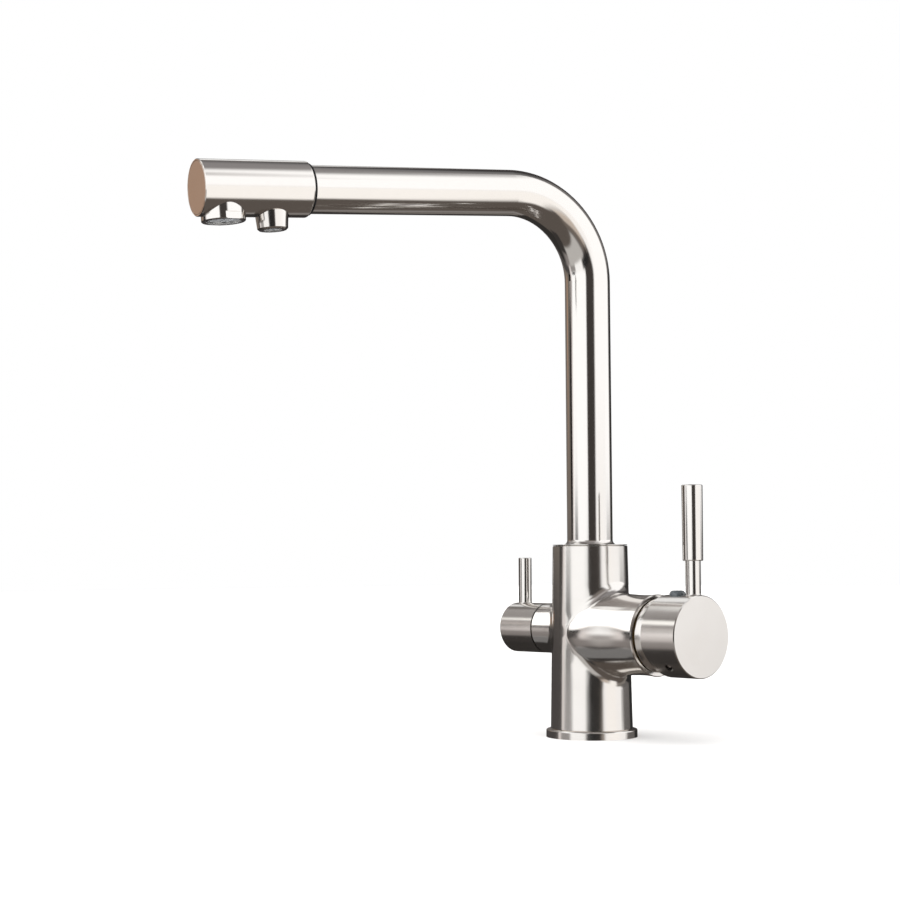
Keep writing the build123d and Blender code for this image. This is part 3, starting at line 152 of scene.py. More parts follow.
class Bench:
    """One node tree, with one method that adds any node and a few that use it."""

    def __init__(self, tree: bpy.types.NodeTree) -> None:
        """Empties the tree.

        Args:
            tree: the node tree to fill.
        """
        self.tree = tree
        tree.nodes.clear()

    def node(
        self, kind: str, settings: dict | None = None, inputs: dict | None = None
    ) -> bpy.types.Node:
        """Adds a node.

        Args:
            kind: the node's type.
            settings: the node's own properties, set first.
            inputs: the values or links of its sockets, by name or number.

        Returns:
            The node.
        """
        made = self.tree.nodes.new(kind)
        for name, value in (settings or {}).items():
            setattr(made, name, value)
        for name, value in (inputs or {}).items():
            socket = made.inputs[name]
            if isinstance(value, Signal):
                self.tree.links.new(value.socket, socket)
            elif isinstance(value, bpy.types.NodeSocket):
                self.tree.links.new(value, socket)
            elif socket.type == "RGBA" and len(value) == 3:
                socket.default_value = (*value, 1.0)
            else:
                socket.default_value = value
        return made

    def signal(
        self, kind: str, output: str, settings: dict | None = None, inputs: dict | None = None
    ) -> Signal:
        """Adds a node and wraps one of its outputs."""
        return Signal(self, self.node(kind, settings, inputs).outputs[output])

    def blend(
        self, share: "Signal | float", first: "Signal | Colour", second: "Signal | Colour"
    ) -> Signal:
        """Mixes two colours.

        Args:
            share: how much of the second.
            first: the colour at 0.
            second: the colour at 1.

        Returns:
            The mixed colour.
        """
        node = self.node("ShaderNodeMix", {"data_type": "RGBA"}, {0: share, 6: first, 7: second})
        return Signal(self, node.outputs[2])

    def grain(self, scale: Sequence[float], detail: float, roughness: float = 0.5) -> Signal:
        """Noise on the piece's own coordinates, stretched by a scale for each axis.

        Args:
            scale: how many grains go into a metre along each axis.
            detail: the noise's detail.
            roughness: the noise's roughness.

        Returns:
            The noise, about 0.5.
        """
        place = self.node("ShaderNodeTexCoord").outputs["Object"]
        stretched = self.node(
            "ShaderNodeMapping", {"vector_type": "POINT"}, {"Vector": place, "Scale": scale}
        ).outputs["Vector"]
        return self.signal(
            "ShaderNodeTexNoise",
            "Fac",
            None,
            {"Vector": stretched, "Scale": 1.0, "Detail": detail, "Roughness": roughness},
        )

    def relief(
        self, surface: bpy.types.Node, strength: float, distance: float, height: Signal
    ) -> bpy.types.Node:
        """Adds a shallow bump to a surface.

        Args:
            surface: the surface, or a bump that lies over this one.
            strength: how strongly the bump shows.
            distance: how high it is, in metres.
            height: its pattern.

        Returns:
            The Bump node.
        """
        bump = self.node(
            "ShaderNodeBump", None, {"Strength": strength, "Distance": distance, "Height": height}
        )
        self.tree.links.new(bump.outputs["Normal"], surface.inputs["Normal"])
        return bump


class Grain(Enum):
    """The direction in which a plated surface was brushed or turned."""

    ROUND_Z = "round the upright axis"
    ROUND_X = "round the handles' axis"
    ALONG_SPOUT = "along the spout"
    NONE = "polished"


GRAIN_SCALE: dict[Grain, tuple[float, float, float]] = {
    Grain.ROUND_Z: (40.0, 40.0, 9000.0),
    Grain.ROUND_X: (9000.0, 40.0, 40.0),
    Grain.ALONG_SPOUT: (2500.0, 60.0, 2500.0),
    Grain.NONE: (300.0, 300.0, 300.0),
}


class Finish:
    """What every finish shares: a principled surface with its own name."""

    name: str

    def dress(self, bench: Bench, surface: bpy.types.Node) -> None:
        """Fills in the surface; each finish has its own."""
        raise NotImplementedError

    def material(self) -> bpy.types.Material:
        """The finish as a material, made once.

        Returns:
            The material.
        """
        found = bpy.data.materials.get(self.name)
        if found is not None:
            return found
        made = bpy.data.materials.new(self.name)
        made.use_nodes = True
        bench = Bench(made.node_tree)
        surface = bench.node("ShaderNodeBsdfPrincipled")
        self.dress(bench, surface)
        bench.node("ShaderNodeOutputMaterial", None, {"Surface": surface.outputs["BSDF"]})
        return made


def link(bench: Bench, value: Signal, surface: bpy.types.Node, socket: str) -> None:
    """Feeds a signal into a socket of the surface."""
    bench.tree.links.new(value.socket, surface.inputs[socket])


@dataclass(frozen=True)
class NickelPlate(Finish):
    """Nickel plating, polished or finely brushed, with a faint haze where hands have wiped it."""

    name: str
    colour: Colour = (0.83, 0.81, 0.785)
    shade: Colour = (0.77, 0.745, 0.715)
    roughness: float = 0.07
    least_roughness: float = 0.02
    streaks: float = 0.03
    streak_share: float = 0.45
    haze: float = 0.03
    haze_scale: float = 28.0
    relief: float = 0.02
    waves: float = 0.0
    wave_scale: float = 42.0
    grain: Grain = Grain.NONE

    def dress(self, bench: Bench, surface: bpy.types.Node) -> None:
        """Brushed streaks and haze change the roughness, the tone and a shallow bump.

        Args:
            bench: the material's node tree.
            surface: its surface.
        """
        streak = bench.grain(GRAIN_SCALE[self.grain], detail=3.0, roughness=0.6)
        cloud = bench.grain((self.haze_scale,) * 3, detail=4.0, roughness=0.55)
        surface.inputs["Metallic"].default_value = 1.0
        mottle = streak * self.streak_share + cloud * (1.0 - self.streak_share)
        tone = mottle.ramp(low=0.3, high=0.72)
        link(bench, bench.blend(tone, self.shade, self.colour), surface, "Base Color")
        brushed = self.roughness + streak * self.streaks
        hazed = brushed + cloud.ramp(low=0.35, high=0.8) * self.haze
        rough = hazed - 0.5 * self.streaks
        link(bench, rough.most(self.least_roughness), surface, "Roughness")
        fine = bench.relief(surface, self.relief, MARK_DEPTH, streak)
        if self.waves:
            swell = bench.grain((self.wave_scale,) * 3, detail=1.0, roughness=0.4)
            bench.relief(fine, 1.0, self.waves, swell)


@dataclass(frozen=True)
class MachinedMetal(Finish):
    """Bare metal from a lathe, with fine tool marks."""

    name: str
    colour: Colour
    shade: Colour
    roughness: float = 0.28
    patch_scale: float = 90.0
    patch_roughness: float = 0.12
    mark_scale: float = 2600.0
    mark_roughness: float = 0.1
    mark_relief: float = 0.15

    def dress(self, bench: Bench, surface: bpy.types.Node) -> None:
        """Tool marks and a patchy tarnish.

        Args:
            bench: the material's node tree.
            surface: its surface.
        """
        marks = bench.grain((self.mark_scale,) * 3, detail=2.0, roughness=0.6)
        patches = bench.grain((self.patch_scale,) * 3, detail=4.0, roughness=0.6)
        surface.inputs["Metallic"].default_value = 1.0
        tone = patches.ramp(low=0.35, high=0.7)
        link(bench, bench.blend(tone, self.shade, self.colour), surface, "Base Color")
        rough = self.roughness + patches * self.patch_roughness + marks * self.mark_roughness
        link(bench, rough, surface, "Roughness")
        bench.relief(surface, self.mark_relief, MARK_DEPTH, marks)


@dataclass(frozen=True)
class Moulding(Finish):
    """Moulded plastic, rubber or ceramic, with a fine skin."""

    name: str
    colour: Colour
    shade: Colour
    roughness: float = 0.4
    skin: float = 0.1
    pores: float = 1500.0
    coat: float = 0.0
    coat_roughness: float = 0.05
    skin_roughness: float = 0.12
    mottle_scale: float = 120.0
    mottle_roughness: float = 0.06

    def dress(self, bench: Bench, surface: bpy.types.Node) -> None:
        """A mottled tone and a shallow moulded skin.

        Args:
            bench: the material's node tree.
            surface: its surface.
        """
        mottle = bench.grain((self.mottle_scale,) * 3, detail=3.0)
        skin = bench.grain((self.pores,) * 3, detail=2.0)
        surface.inputs["Coat Weight"].default_value = self.coat
        surface.inputs["Coat Roughness"].default_value = self.coat_roughness
        tone = mottle.ramp(low=0.35, high=0.7)
        link(bench, bench.blend(tone, self.shade, self.colour), surface, "Base Color")
        rough = self.roughness + skin * self.skin_roughness + mottle * self.mottle_roughness
        link(bench, rough, surface, "Roughness")
        bench.relief(surface, self.skin, MARK_DEPTH, skin)


CAST_NICKEL = NickelPlate(
    "nickel_brushed_casting", roughness=0.135, streaks=0.05, waves=0.00005, grain=Grain.ROUND_Z
)
UPRIGHT_NICKEL = NickelPlate(
    "nickel_turned_upright", roughness=0.12, haze=0.02, relief=0.01, grain=Grain.ROUND_Z
)
CROSS_NICKEL = NickelPlate(
    "nickel_turned_across", roughness=0.16, streaks=0.06, grain=Grain.ROUND_X
)
SPOUT_NICKEL = NickelPlate(
    "nickel_polished_spout",
    shade=(0.81, 0.79, 0.764),
    roughness=0.1,
    streaks=0.02,
    haze=0.02,
    relief=0.004,
)
TIP_NICKEL = NickelPlate(
    "nickel_turned_tip", roughness=0.16, streaks=0.06, grain=Grain.ALONG_SPOUT
)
BRASS = MachinedMetal("machined_brass", (0.80, 0.60, 0.30), (0.62, 0.43, 0.20))
STEEL = MachinedMetal(
    "bright_steel", (0.62, 0.62, 0.61), (0.48, 0.48, 0.48), roughness=0.22
)
RUBBER = Moulding(
    "nitrile_rubber", (0.022, 0.022, 0.023), (0.012, 0.012, 0.013), roughness=0.55, skin=0.3
)
ACETAL = Moulding("white_acetal", (0.80, 0.80, 0.77), (0.74, 0.74, 0.71), roughness=0.38)
GRID_ACETAL = Moulding(
    "grey_grid_acetal", (0.34, 0.35, 0.36), (0.26, 0.27, 0.28), roughness=0.42
)
CERAMIC = Moulding(
    "lapped_ceramic",
    (0.88, 0.87, 0.84),
    (0.82, 0.81, 0.78),
    roughness=0.18,
    skin=0.05,
    pores=900.0,
    coat=0.4,
)
PIPE = Moulding(
    "polyethylene_pipe", (0.66, 0.70, 0.73), (0.58, 0.62, 0.66), roughness=0.32, skin=0.06
)
INDEX = Moulding(
    "smoky_index_cap",
    (0.085, 0.10, 0.11),
    (0.055, 0.066, 0.074),
    roughness=0.16,
    skin=0.04,
    pores=700.0,
    coat=0.6,
)

NODE_FINISH: dict[str, Finish] = {
    "body": CAST_NICKEL,
    "base_ring": UPRIGHT_NICKEL,
    "swivel_collar": UPRIGHT_NICKEL,
    "mixer_bonnet": CROSS_NICKEL,
    "mixer_hub": CROSS_NICKEL,
    "filter_knob": CROSS_NICKEL,
    "spout_tube": SPOUT_NICKEL,
    "outlet_head": SPOUT_NICKEL,
    "lever_stem": SPOUT_NICKEL,
    "lever_grip": SPOUT_NICKEL,
    "filter_lever": SPOUT_NICKEL,
    "aerator_housing": SPOUT_NICKEL,
    "filter_nozzle": SPOUT_NICKEL,
    "tip_cap": TIP_NICKEL,
    "inlet_block": BRASS,
    "filter_riser": BRASS,
    "cartridge_nut": BRASS,
    "filter_valve_housing": BRASS,
    "spout_spigot": BRASS,
    "pipe_socket": BRASS,
    "mixer_spindle": BRASS,
    "filter_spindle": BRASS,
    "retaining_ring": STEEL,
    "pivot_pin": STEEL,
    "hub_screw": STEEL,
    "knob_screw": STEEL,
    "spindle_circlip": STEEL,
    "base_gasket": RUBBER,
    "riser_o_ring": RUBBER,
    "cartridge_seals": RUBBER,
    "filter_valve_seal": RUBBER,
    "spigot_o_rings": RUBBER,
    "pipe_o_ring": RUBBER,
    "aerator_washer": RUBBER,
    "nozzle_seal": RUBBER,
    "spindle_o_ring": RUBBER,
    "slip_washer": ACETAL,
    "cartridge_housing": ACETAL,
    "cartridge_base": ACETAL,
    "mixer_carrier": ACETAL,
    "slide_plate": ACETAL,
    "aerator_insert": GRID_ACETAL,
    "nozzle_insert": GRID_ACETAL,
    "mixer_fixed_disc": CERAMIC,
    "mixer_moving_disc": CERAMIC,
    "filter_fixed_disc": CERAMIC,
    "filter_moving_disc": CERAMIC,
    "filter_pipe": PIPE,
    "index_button": INDEX,
}


def dress_nodes(finishes: dict[str, Finish]) -> None:
    """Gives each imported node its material.

    Args:
        finishes: the finish of each node, by the node's name.
    """
    for name, finish in finishes.items():
        node = frame["nodes"][name]
        node.data.materials.clear()
        node.data.materials.append(finish.material())
        log.info("dressed %s with %s", name, finish.name)


def shut(piece: bpy.types.Object, body: str, finish: Finish) -> None:
    """Finishes a modelled piece: place in its mesh, its material and its body.

    Args:
        piece: the modelled object.
        body: the name of the body that it rides on.
        finish: its finish.
    """
    bpy.ops.object.select_all(action="DESELECT")
    piece.select_set(True)
    bpy.context.view_layer.objects.active = piece
    bpy.ops.object.transform_apply(location=True, rotation=True, scale=True)
    bpy.ops.object.shade_smooth_by_angle(angle=SMOOTH_ANGLE)
    piece.data.materials.clear()
    piece.data.materials.append(finish.material())
    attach(piece, body)
    log.info("modelled %s: %d faces, rides on %s", piece.name, len(piece.data.polygons), body)


def turned_ring(
    name: str, centre: Vector, section: Sequence[tuple[float, float]], sides: int
) -> bpy.types.Object:
    """Draws a closed section round an upright axis, as a lathe would cut it.

    Args:
        name: the piece's name.
        centre: the middle of the ring, at the section's zero height.
        section: the radius and height of each corner of the section, in order.
        sides: how many sides the ring has.

    Returns:
        The ring, as a closed mesh.
    """
    bpy.ops.object.select_all(action="DESELECT")
    radius, height = section[0]
    start = centre + Vector((0.0, 0.0, height))
    bpy.ops.mesh.primitive_circle_add(vertices=sides, radius=radius, location=start)
    ring = bpy.context.object
    ring.name = name
    bpy.ops.object.mode_set(mode="EDIT")
    bpy.ops.mesh.select_mode(type="EDGE")
    bpy.ops.mesh.select_all(action="SELECT")
    for next_radius, next_height in [*section[1:], section[0]]:
        step = (0.0, 0.0, next_height - height)
        bpy.ops.mesh.extrude_edges_move(TRANSFORM_OT_translate={"value": step})
        share = next_radius / radius
        middle = centre + Vector((0.0, 0.0, next_height))
        bpy.ops.transform.resize(value=(share, share, 1.0), center_override=middle)
        radius, height = next_radius, next_height
    bpy.ops.mesh.select_all(action="SELECT")
    bpy.ops.mesh.remove_doubles(threshold=MERGE_DISTANCE)
    bpy.ops.mesh.normals_make_consistent(inside=False)
    bpy.ops.object.mode_set(mode="OBJECT")
    return ring


def facing(place: Vector, ahead: Vector) -> Matrix:
    """A place whose own upright axis points ahead."""
    return Matrix.Translation(place) @ ahead.to_track_quat("Z", "Y").to_matrix().to_4x4()


@dataclass
class BaseGasket:
    """Rubber gasket under the worktop ring, with the sealing ribs that the flat CAD ring lacks."""

    bore_radius: float = 0.0215
    sides: int = 96
    rib_count: int = 3
    rib_height: float = 0.0004
    rib_steps: int = 5

    def build(self) -> None:
        """Builds the ribbed ring and puts it in place of the CAD ring."""
        low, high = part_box("base_gasket")
        outer = (high[0] - low[0]) / 2
        wall = (high[0] - low[0] - 2 * self.bore_radius) / 2
        section: list[tuple[float, float]] = []
        pitch = wall / self.rib_count
        for rib in range(self.rib_count):
            for step in range(self.rib_steps):
                share = step / self.rib_steps
                along = outer - wall + pitch * (rib + share)
                hollow = 1.0 - math.sin(math.pi * share)
                section.append((along, self.rib_height * hollow))
        section += [(outer, self.rib_height), (outer, high[2]), (outer - wall, high[2])]
        gasket = turned_ring("gasket_ribbed", Vector((0.0, 0.0, low[2])), section, self.sides)
        shut(gasket, "root", RUBBER)
        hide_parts("base_gasket")


@dataclass
class HeadShadowLip:
    """Black rubber lip between the spout tube and the outlet head, which paints the dark shadow
    line behind the head.
    """

    rest_angle: float = math.radians(-104.4)
    droop: float = math.radians(4.3)
    spout_height: float = 0.3112
    head_start: float = 0.1752
    inner_radius: float = 0.01302
    throat_radius: float = 0.01350
    lip_radius: float = 0.01395
    lip_depth: float = 0.00055
    throat_depth: float = 0.0008
    rounding: float = 0.0003
    seat: float = 0.00003
    sides: int = 96

    def build(self) -> None:
        """Turns the painted-shadow lip about an upright axis, then lays it along the spout."""
        ahead = Vector((
            math.cos(self.rest_angle) * math.cos(self.droop),
            math.sin(self.rest_angle) * math.cos(self.droop),
            -math.sin(self.droop),
        ))
        section = [
            (self.inner_radius, self.throat_depth),
            (self.inner_radius, -self.lip_depth),
            (self.lip_radius - self.rounding, -self.lip_depth),
            (self.lip_radius, self.rounding - self.lip_depth),
            (self.lip_radius, -self.seat),
            (self.throat_radius, -self.seat),
            (self.throat_radius, self.throat_depth),
        ]
        # A black rubber lip where there is only a shadow gap: it paints the dark shadow line
        # behind the head.
        seal = turned_ring("head_painted_shadow_lip", Vector(), section, self.sides)
        place = Vector((0.0, 0.0, self.spout_height)) + ahead * self.head_start
        seal.matrix_world = facing(place, ahead)
        shut(seal, "spout", RUBBER)


@dataclass
class LeverFoot:
    """Small fillet where a lever stands in the round side of its hub, with its sizes in metres."""

    lever: str
    hub: str
    body: str
    reach: float = 0.0007
    rise: float = 0.0007
    sink: float = 0.0003
    steps: int = 5
    sides: int = 64

    def build(self) -> None:
        """Turns the fillet, then lays its foot on the hub's curve."""
        low, high = (Vector(corner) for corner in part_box(self.lever))
        hub_low, hub_high = (Vector(corner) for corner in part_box(self.hub))
        hub_radius = (hub_high.z - hub_low.z) / 2
        middle = (low + high) / 2
        radius = (high.y - low.y) / 2
        centre = Vector((middle.x, middle.y, (hub_low.z + hub_high.z) / 2 + hub_radius))
        section = [(radius - self.sink, -self.sink), (radius + self.reach, -self.sink)]
        for step in range(self.steps + 1):
            share = math.radians(90.0) * step / self.steps
            section.append((
                radius + self.reach * (1.0 - math.sin(share)),
                self.rise * (1.0 - math.cos(share)),
            ))
        section.append((radius - self.sink, self.rise))
        foot = turned_ring(f"{self.lever}_foot", centre, section, self.sides)
        for vertex in foot.data.vertices:
            across = vertex.co.y
            vertex.co.z -= hub_radius - math.sqrt(hub_radius**2 - across**2)
        shut(foot, self.body, UPRIGHT_NICKEL)


@dataclass
class InletThread:
    """Cut thread inside one of the holes in the foot of the tap.

    The rib's size, its depth in the wall and its start are shares of the pitch or of the rib.
    """

    name: str
    centre: Vector
    radius: float
    length: float
    pitch: float
    rib_share: float = 0.46
    sunk_share: float = 0.35
    start_share: float = 0.75
    rib_corners: int = 3
    steps: int = 28

    def build(self) -> None:
        """Winds a triangular rib up the wall of the hole, a pitch a turn."""
        bpy.ops.object.select_all(action="DESELECT")
        rib = self.pitch * self.rib_share
        bpy.ops.mesh.primitive_circle_add(
            vertices=self.rib_corners,
            radius=rib,
            rotation=(math.radians(90.0), math.radians(-90.0), 0.0),
            location=(self.radius - rib * self.sunk_share, 0.0, self.pitch * self.start_share),
        )
        thread = bpy.context.object
        thread.name = self.name
        bpy.ops.object.transform_apply(location=True, rotation=True, scale=True)
        screw = thread.modifiers.new("helix", "SCREW")
        screw.axis = "Z"
        screw.screw_offset = self.pitch
        screw.iterations = int(self.length / self.pitch) - 1
        screw.steps = self.steps
        screw.render_steps = self.steps
        screw.use_merge_vertices = True
        screw.merge_threshold = MERGE_DISTANCE
        bpy.ops.object.modifier_apply(modifier="helix")
        bpy.ops.object.mode_set(mode="EDIT")
        bpy.ops.mesh.select_mode(type="VERT")
        bpy.ops.mesh.select_all(action="DESELECT")
        bpy.ops.mesh.select_non_manifold()
        bpy.ops.mesh.fill_holes(sides=self.rib_corners)
        bpy.ops.mesh.select_all(action="SELECT")
        bpy.ops.mesh.normals_make_consistent(inside=False)
        bpy.ops.transform.translate(value=self.centre)
        bpy.ops.object.mode_set(mode="OBJECT")
        shut(thread, "root", BRASS)


def inlet_threads() -> list[InletThread]:
    """The threads of the three inlets and the two stud holes, placed by the record's mounts.

    Returns:
        One thread for each hole.
    """
    threads = []
    for mount in frame["record"]["mounts"]:
        name, place = mount["name"], Vector(mount["pos_m"])
        sizes = mount.get("dims", {})
        if mount["kind"] == "threaded_hole":
            spot = Vector((place.x, place.y, 0.0))
            radius, length = sizes["r_mm"] / MM_IN_METRE, sizes["length_mm"] / MM_IN_METRE
            threads.append(InletThread(f"{name}_thread", spot, radius, length, HOSE_PITCH))
        elif mount["kind"] == "bolt_pattern":
            radius = sizes["hole_r_mm"] / MM_IN_METRE
            half = sizes["spacing_y_mm"] / (2 * MM_IN_METRE)
            for side, label in ((1, "back"), (-1, "front")):
                spot = place + Vector((0.0, side * half, 0.0))
                thread = InletThread(
                    f"stud_thread_{label}", spot, radius, STUD_THREAD_LENGTH, STUD_PITCH
                )
                threads.append(thread)
    return threads


@dataclass(frozen=True)
class Panel:
    """One soft panel of the room round the tap, or a dark gap between panels.

    The turn is in degrees to the right of the camera, and the height in degrees above the tap. The
    blur is half the width of the soft edge, across and up, and the colour is 1 for white.
    """

    name: str
    turn: tuple[float, float]
    height: tuple[float, float]
    blur: tuple[float, float]
    colour: Colour

    def cover(self, turn: Signal, height: Signal) -> Signal:
        """How much of the view in each direction the panel takes up.

        Args:
            turn: the direction's turn.
            height: the direction's height.

        Returns:
            The panel's soft-edged window.
        """
        return turn.band(*self.turn, self.blur[0]) * height.band(*self.height, self.blur[1])


ALL_ROUND = (-230.0, 230.0)
PANELS: tuple[Panel, ...] = (
    Panel("worktop", ALL_ROUND, (-120.0, -34.0), (15.0, 6.0), (0.115, 0.097, 0.085)),
    Panel("dark_left", (-230.0, -112.0), (-50.0, -8.0), (7.0, 4.0), (0.035, 0.032, 0.03)),
    Panel("room_left", (-139.0, -100.0), (12.0, 60.0), (4.0, 5.0), (0.36, 0.34, 0.33)),
    Panel("behind_left", (-230.0, -150.0), (-14.0, -1.0), (6.0, 1.5), (0.05, 0.045, 0.045)),
    Panel("high_left", (-168.0, -86.0), (47.5, 66.0), (6.0, 2.0), (1.15, 1.14, 1.12)),
    Panel("far_window", (-176.0, -157.0), (30.0, 46.5), (4.0, 4.5), (1.0, 1.0, 1.0)),
    Panel("wall_left", (-150.0, -91.0), (0.8, 11.3), (5.0, 2.0), (0.2, 0.17, 0.145)),
    Panel("skirting_left", (-150.0, -92.0), (-8.0, 0.5), (5.0, 1.4), (0.075, 0.068, 0.066)),
    Panel("tan_card", (-132.0, -123.0), (5.1, 13.0), (3.2, 3.1), (0.5, 0.32, 0.22)),
    Panel("side_dark", (-116.0, -84.0), (-58.0, -24.0), (5.0, 3.0), (0.045, 0.04, 0.038)),
    Panel("side_low", (-103.0, -80.0), (-24.0, -7.0), (3.0, 4.0), (0.27, 0.245, 0.235)),
    Panel("side_mid", (-93.5, -80.0), (-9.5, 9.0), (2.0, 4.5), (0.88, 0.82, 0.8)),
    Panel("side_shelf", (-105.0, -84.0), (8.5, 22.5), (4.0, 2.0), (0.52, 0.48, 0.46)),
    Panel("side_gap", (-94.0, -84.0), (16.5, 23.0), (2.0, 1.6), (0.24, 0.22, 0.21)),
    Panel("side_strip", (-101.0, -84.0), (23.5, 31.5), (3.0, 1.6), (1.4, 1.38, 1.34)),
    Panel("edge_line", (-108.0, -92.0), (0.8, 8.5), (1.2, 1.2), (0.012, 0.011, 0.01)),
    Panel("front_low", (-84.0, 4.0), (-36.0, -1.0), (6.0, 3.5), (0.55, 0.53, 0.51)),
    Panel("front_shade", (-84.0, -55.0), (-10.0, -1.0), (4.0, 2.0), (0.33, 0.31, 0.3)),
    Panel("front_foot", (-56.0, -16.0), (-12.0, 4.0), (4.0, 3.0), (1.12, 1.11, 1.1)),
    Panel("front_left", (-84.5, -6.0), (-1.0, 48.0), (3.0, 3.5), (1.24, 1.24, 1.24)),
    Panel("low_line", (-79.0, -62.0), (-1.5, 1.8), (2.5, 1.0), (0.05, 0.046, 0.044)),
    Panel("camera_gap", (-5.5, 31.0), (-8.0, 45.5), (4.0, 3.0), (0.055, 0.048, 0.044)),
    Panel("camera_foot", (-13.0, 26.0), (-10.0, -0.8), (4.5, 1.5), (0.022, 0.022, 0.022)),
    Panel("above_gap", (-25.0, 34.5), (16.0, 45.0), (6.2, 6.0), (0.21, 0.185, 0.17)),
    Panel("tripod", (10.0, 23.6), (-39.5, -9.0), (4.0, 4.0), (0.178, 0.149, 0.128)),
    Panel("table_edge", (23.2, 42.7), (-33.0, -6.0), (4.2, 4.0), (0.62, 0.535, 0.465)),
    Panel("floor_right", (70.0, 230.0), (-33.0, -5.0), (6.5, 3.2), (0.24, 0.218, 0.198)),
    Panel("room_back", (123.0, 230.0), (-1.0, 49.4), (7.2, 3.0), (0.2, 0.19, 0.185)),
    Panel("back_high", (135.0, 230.0), (48.0, 68.0), (8.0, 5.0), (0.13, 0.128, 0.13)),
    Panel("back_dark", (133.0, 230.0), (-26.0, 13.0), (8.0, 3.0), (0.025, 0.024, 0.024)),
    Panel("behind_right", (152.0, 230.0), (-3.0, 55.0), (7.0, 4.0), (0.05, 0.045, 0.045)),
    Panel("softbox_right", (34.5, 126.0), (-3.0, 70.0), (5.0, 7.0), (1.24, 1.23, 1.23)),
    Panel("right_foot", (101.0, 136.0), (-20.0, 0.8), (4.0, 2.0), (0.15, 0.14, 0.135)),
    Panel("softbox_low", (33.0, 97.0), (-10.0, 4.0), (5.0, 3.0), (1.12, 1.1, 1.09)),
    Panel("softbox_foot", (43.0, 75.0), (-45.0, 0.4), (8.8, 5.1), (1.16, 1.12, 1.08)),
    Panel("ceiling", ALL_ROUND, (63.6, 116.0), (2.5, 10.0), (0.29, 0.275, 0.275)),
    Panel("low_back", (150.5, 225.0), (-49.2, -38.4), (4.8, 2.8), (0.25, 0.23, 0.22)),
    Panel("lamp_rail", (-60.0, 55.5), (38.8, 54.6), (9.0, 6.4), (0.45, 0.42, 0.41)),
)


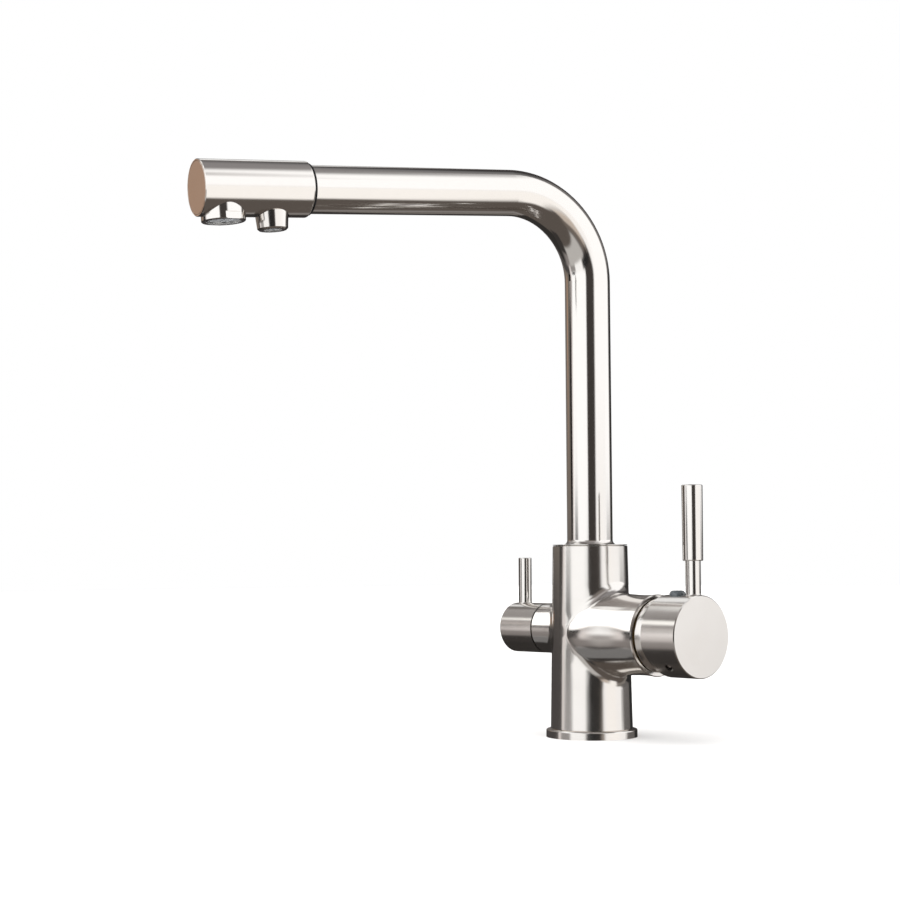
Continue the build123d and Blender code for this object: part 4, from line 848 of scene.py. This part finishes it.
@dataclass
class Studio:
    """Pale floor, soft lights and a surround of bright panels, set about the camera."""

    stand: Vector = field(default_factory=lambda: Vector((0.7148, -0.7263, 0.0962)))
    heading: float = math.radians(49.03)
    pitch: float = math.radians(3.776)
    roll: float = math.radians(-0.291)
    focal_px: float = 1774.9
    image_px: float = 900.0
    sensor_mm: float = 36.0
    nearest: float = 0.01
    farthest: float = 50.0
    floor_reach: float = 6.0
    floor_cells: int = 8
    floor_roughness: float = 0.85
    cloud_scale: float = 3.0
    room: Colour = (0.172, 0.157, 0.150)
    backdrop: Colour = (1.0, 1.0, 1.0)
    ground: Colour = (0.90, 0.90, 0.895)
    ground_shade: float = 0.985

    def camera(self) -> None:
        """Sets the camera where the photographer stood."""
        data = bpy.data.cameras.new("camera")
        data.sensor_fit = "HORIZONTAL"
        data.sensor_width = self.sensor_mm
        data.lens = self.focal_px / self.image_px * self.sensor_mm
        data.clip_start = self.nearest
        data.clip_end = self.farthest
        ahead = Vector((
            -math.sin(self.heading) * math.cos(self.pitch),
            math.cos(self.heading) * math.cos(self.pitch),
            math.sin(self.pitch),
        ))
        side = Vector((math.cos(self.heading), math.sin(self.heading), 0.0))
        above = side.cross(ahead)
        right = side * math.cos(self.roll) + above * math.sin(self.roll)
        up = above * math.cos(self.roll) - side * math.sin(self.roll)
        turn = Matrix((right, up, -ahead)).transposed()
        camera = bpy.data.objects.new("camera", data)
        camera.matrix_world = Matrix.Translation(self.stand) @ turn.to_4x4()
        bpy.context.scene.collection.objects.link(camera)
        bpy.context.scene.camera = camera

    def bearing(self) -> float:
        """The camera's direction from the tap, about the upright axis."""
        return math.atan2(self.stand.y, self.stand.x)

    def surround(self) -> None:
        """The panels that the metal mirrors, as bands of azimuth and height about the tap."""
        world = bpy.data.worlds.new("surround")
        bpy.context.scene.world = world
        world.use_nodes = True
        bench = Bench(world.node_tree)
        aim = bench.node("ShaderNodeTexCoord").outputs["Generated"]
        split = bench.node("ShaderNodeSeparateXYZ", None, {0: aim})
        east, north, rise = (Signal(bench, split.outputs[i]) for i in range(3))
        toward = self.bearing()
        across = east * -math.sin(toward) + north * math.cos(toward)
        ahead = east * math.cos(toward) + north * math.sin(toward)
        turn = across.function("ARCTAN2", ahead) * math.degrees(1.0)
        height = rise.function("ARCSINE") * math.degrees(1.0)

        look: Signal | Colour = self.room
        for panel in PANELS:
            look = bench.blend(panel.cover(turn, height), look, panel.colour)
        ray = bench.signal("ShaderNodeLightPath", "Is Camera Ray")
        seen = bench.blend(ray, look, self.backdrop)
        background = bench.node("ShaderNodeBackground", None, {"Color": seen, "Strength": 1.0})
        bench.node("ShaderNodeOutputWorld", None, {"Surface": background.outputs[0]})

    def floor(self) -> None:
        """A wide pale floor."""
        bpy.ops.object.select_all(action="DESELECT")
        bpy.ops.mesh.primitive_grid_add(
            x_subdivisions=self.floor_cells,
            y_subdivisions=self.floor_cells,
            size=2 * self.floor_reach,
        )
        ground = bpy.context.object
        ground.name = "floor"
        material = bpy.data.materials.new("pale_floor")
        material.use_nodes = True
        bench = Bench(material.node_tree)
        cloud = bench.grain((self.cloud_scale,) * 3, detail=3.0).ramp(low=0.3, high=0.7)
        shade = tuple(channel * self.ground_shade for channel in self.ground)
        rough = {"Roughness": self.floor_roughness}
        surface = bench.node("ShaderNodeBsdfPrincipled", None, rough)
        link(bench, bench.blend(cloud, self.ground, shade), surface, "Base Color")
        bench.node("ShaderNodeOutputMaterial", None, {"Surface": surface.outputs["BSDF"]})
        ground.data.materials.append(material)
        ground.visible_glossy = False

    def lamp(self, name: str, place: Vector, power: float, spread: float) -> bpy.types.Object:
        """Hangs a soft distant light.

        Args:
            name: the light's name.
            place: where it hangs, aimed at the tap.
            power: its strength.
            spread: how wide it looks from the tap, in degrees.

        Returns:
            The light.
        """
        data = bpy.data.lights.new(name, "SUN")
        data.energy = power
        data.angle = math.radians(spread)
        made = bpy.data.objects.new(name, data)
        made.matrix_world = facing(place, place)
        bpy.context.scene.collection.objects.link(made)
        return made

    def lights(self) -> None:
        """Two soft lights that brighten the floor and lay a faint shadow."""
        key = self.lamp("key", Vector((-0.4, -1.6, 2.2)), power=2.6, spread=90.0)
        fill = self.lamp("fill", Vector((1.8, 0.6, 2.4)), power=1.5, spread=120.0)
        for made in (key, fill):
            made.visible_glossy = False

    def beside(self, turn: float, height: float) -> Vector:
        """A direction from the tap, as a vector of length 1.

        Args:
            turn: degrees to the right of the camera.
            height: degrees above the tap.

        Returns:
            The direction.
        """
        around = self.bearing() + math.radians(turn)
        rise = math.radians(height)
        return Vector((
            math.cos(around) * math.cos(rise),
            math.sin(around) * math.cos(rise),
            math.sin(rise),
        ))

    def casting_lights(self) -> None:
        """Two soft lights for the casting alone, as small cards stood beside it give."""
        only = bpy.data.collections.new("casting_only")
        only.objects.link(frame["nodes"]["body"])
        side = self.lamp("side_card", self.beside(-106.0, 27.0), power=0.5, spread=42.0)
        low = self.lamp("low_card", self.beside(-103.0, -35.0), power=0.025, spread=24.0)
        for made in (side, low):
            made.light_linking.receiver_collection = only

    def build(self) -> None:
        """Sets up the whole studio."""
        self.camera()
        self.surround()
        self.floor()
        self.lights()
        self.casting_lights()
        bpy.context.scene.view_settings.view_transform = "Standard"
        log.info("studio ready")


def main() -> None:
    """Builds the studio and dresses the tap."""
    logging.basicConfig(level=logging.INFO, format="%(name)s: %(message)s")
    Studio().build()
    dress_nodes(NODE_FINISH)
    BaseGasket().build()
    # Black lip that paints the shadow line behind the outlet head.
    HeadShadowLip().build()
    LeverFoot("lever_stem", "mixer_hub", "mixer_lever").build()
    LeverFoot("filter_lever", "filter_knob", "filter_lever").build()
    for thread in inlet_threads():
        thread.build()
    bpy.context.view_layer.update()


if __name__ == "__main__":
    main()
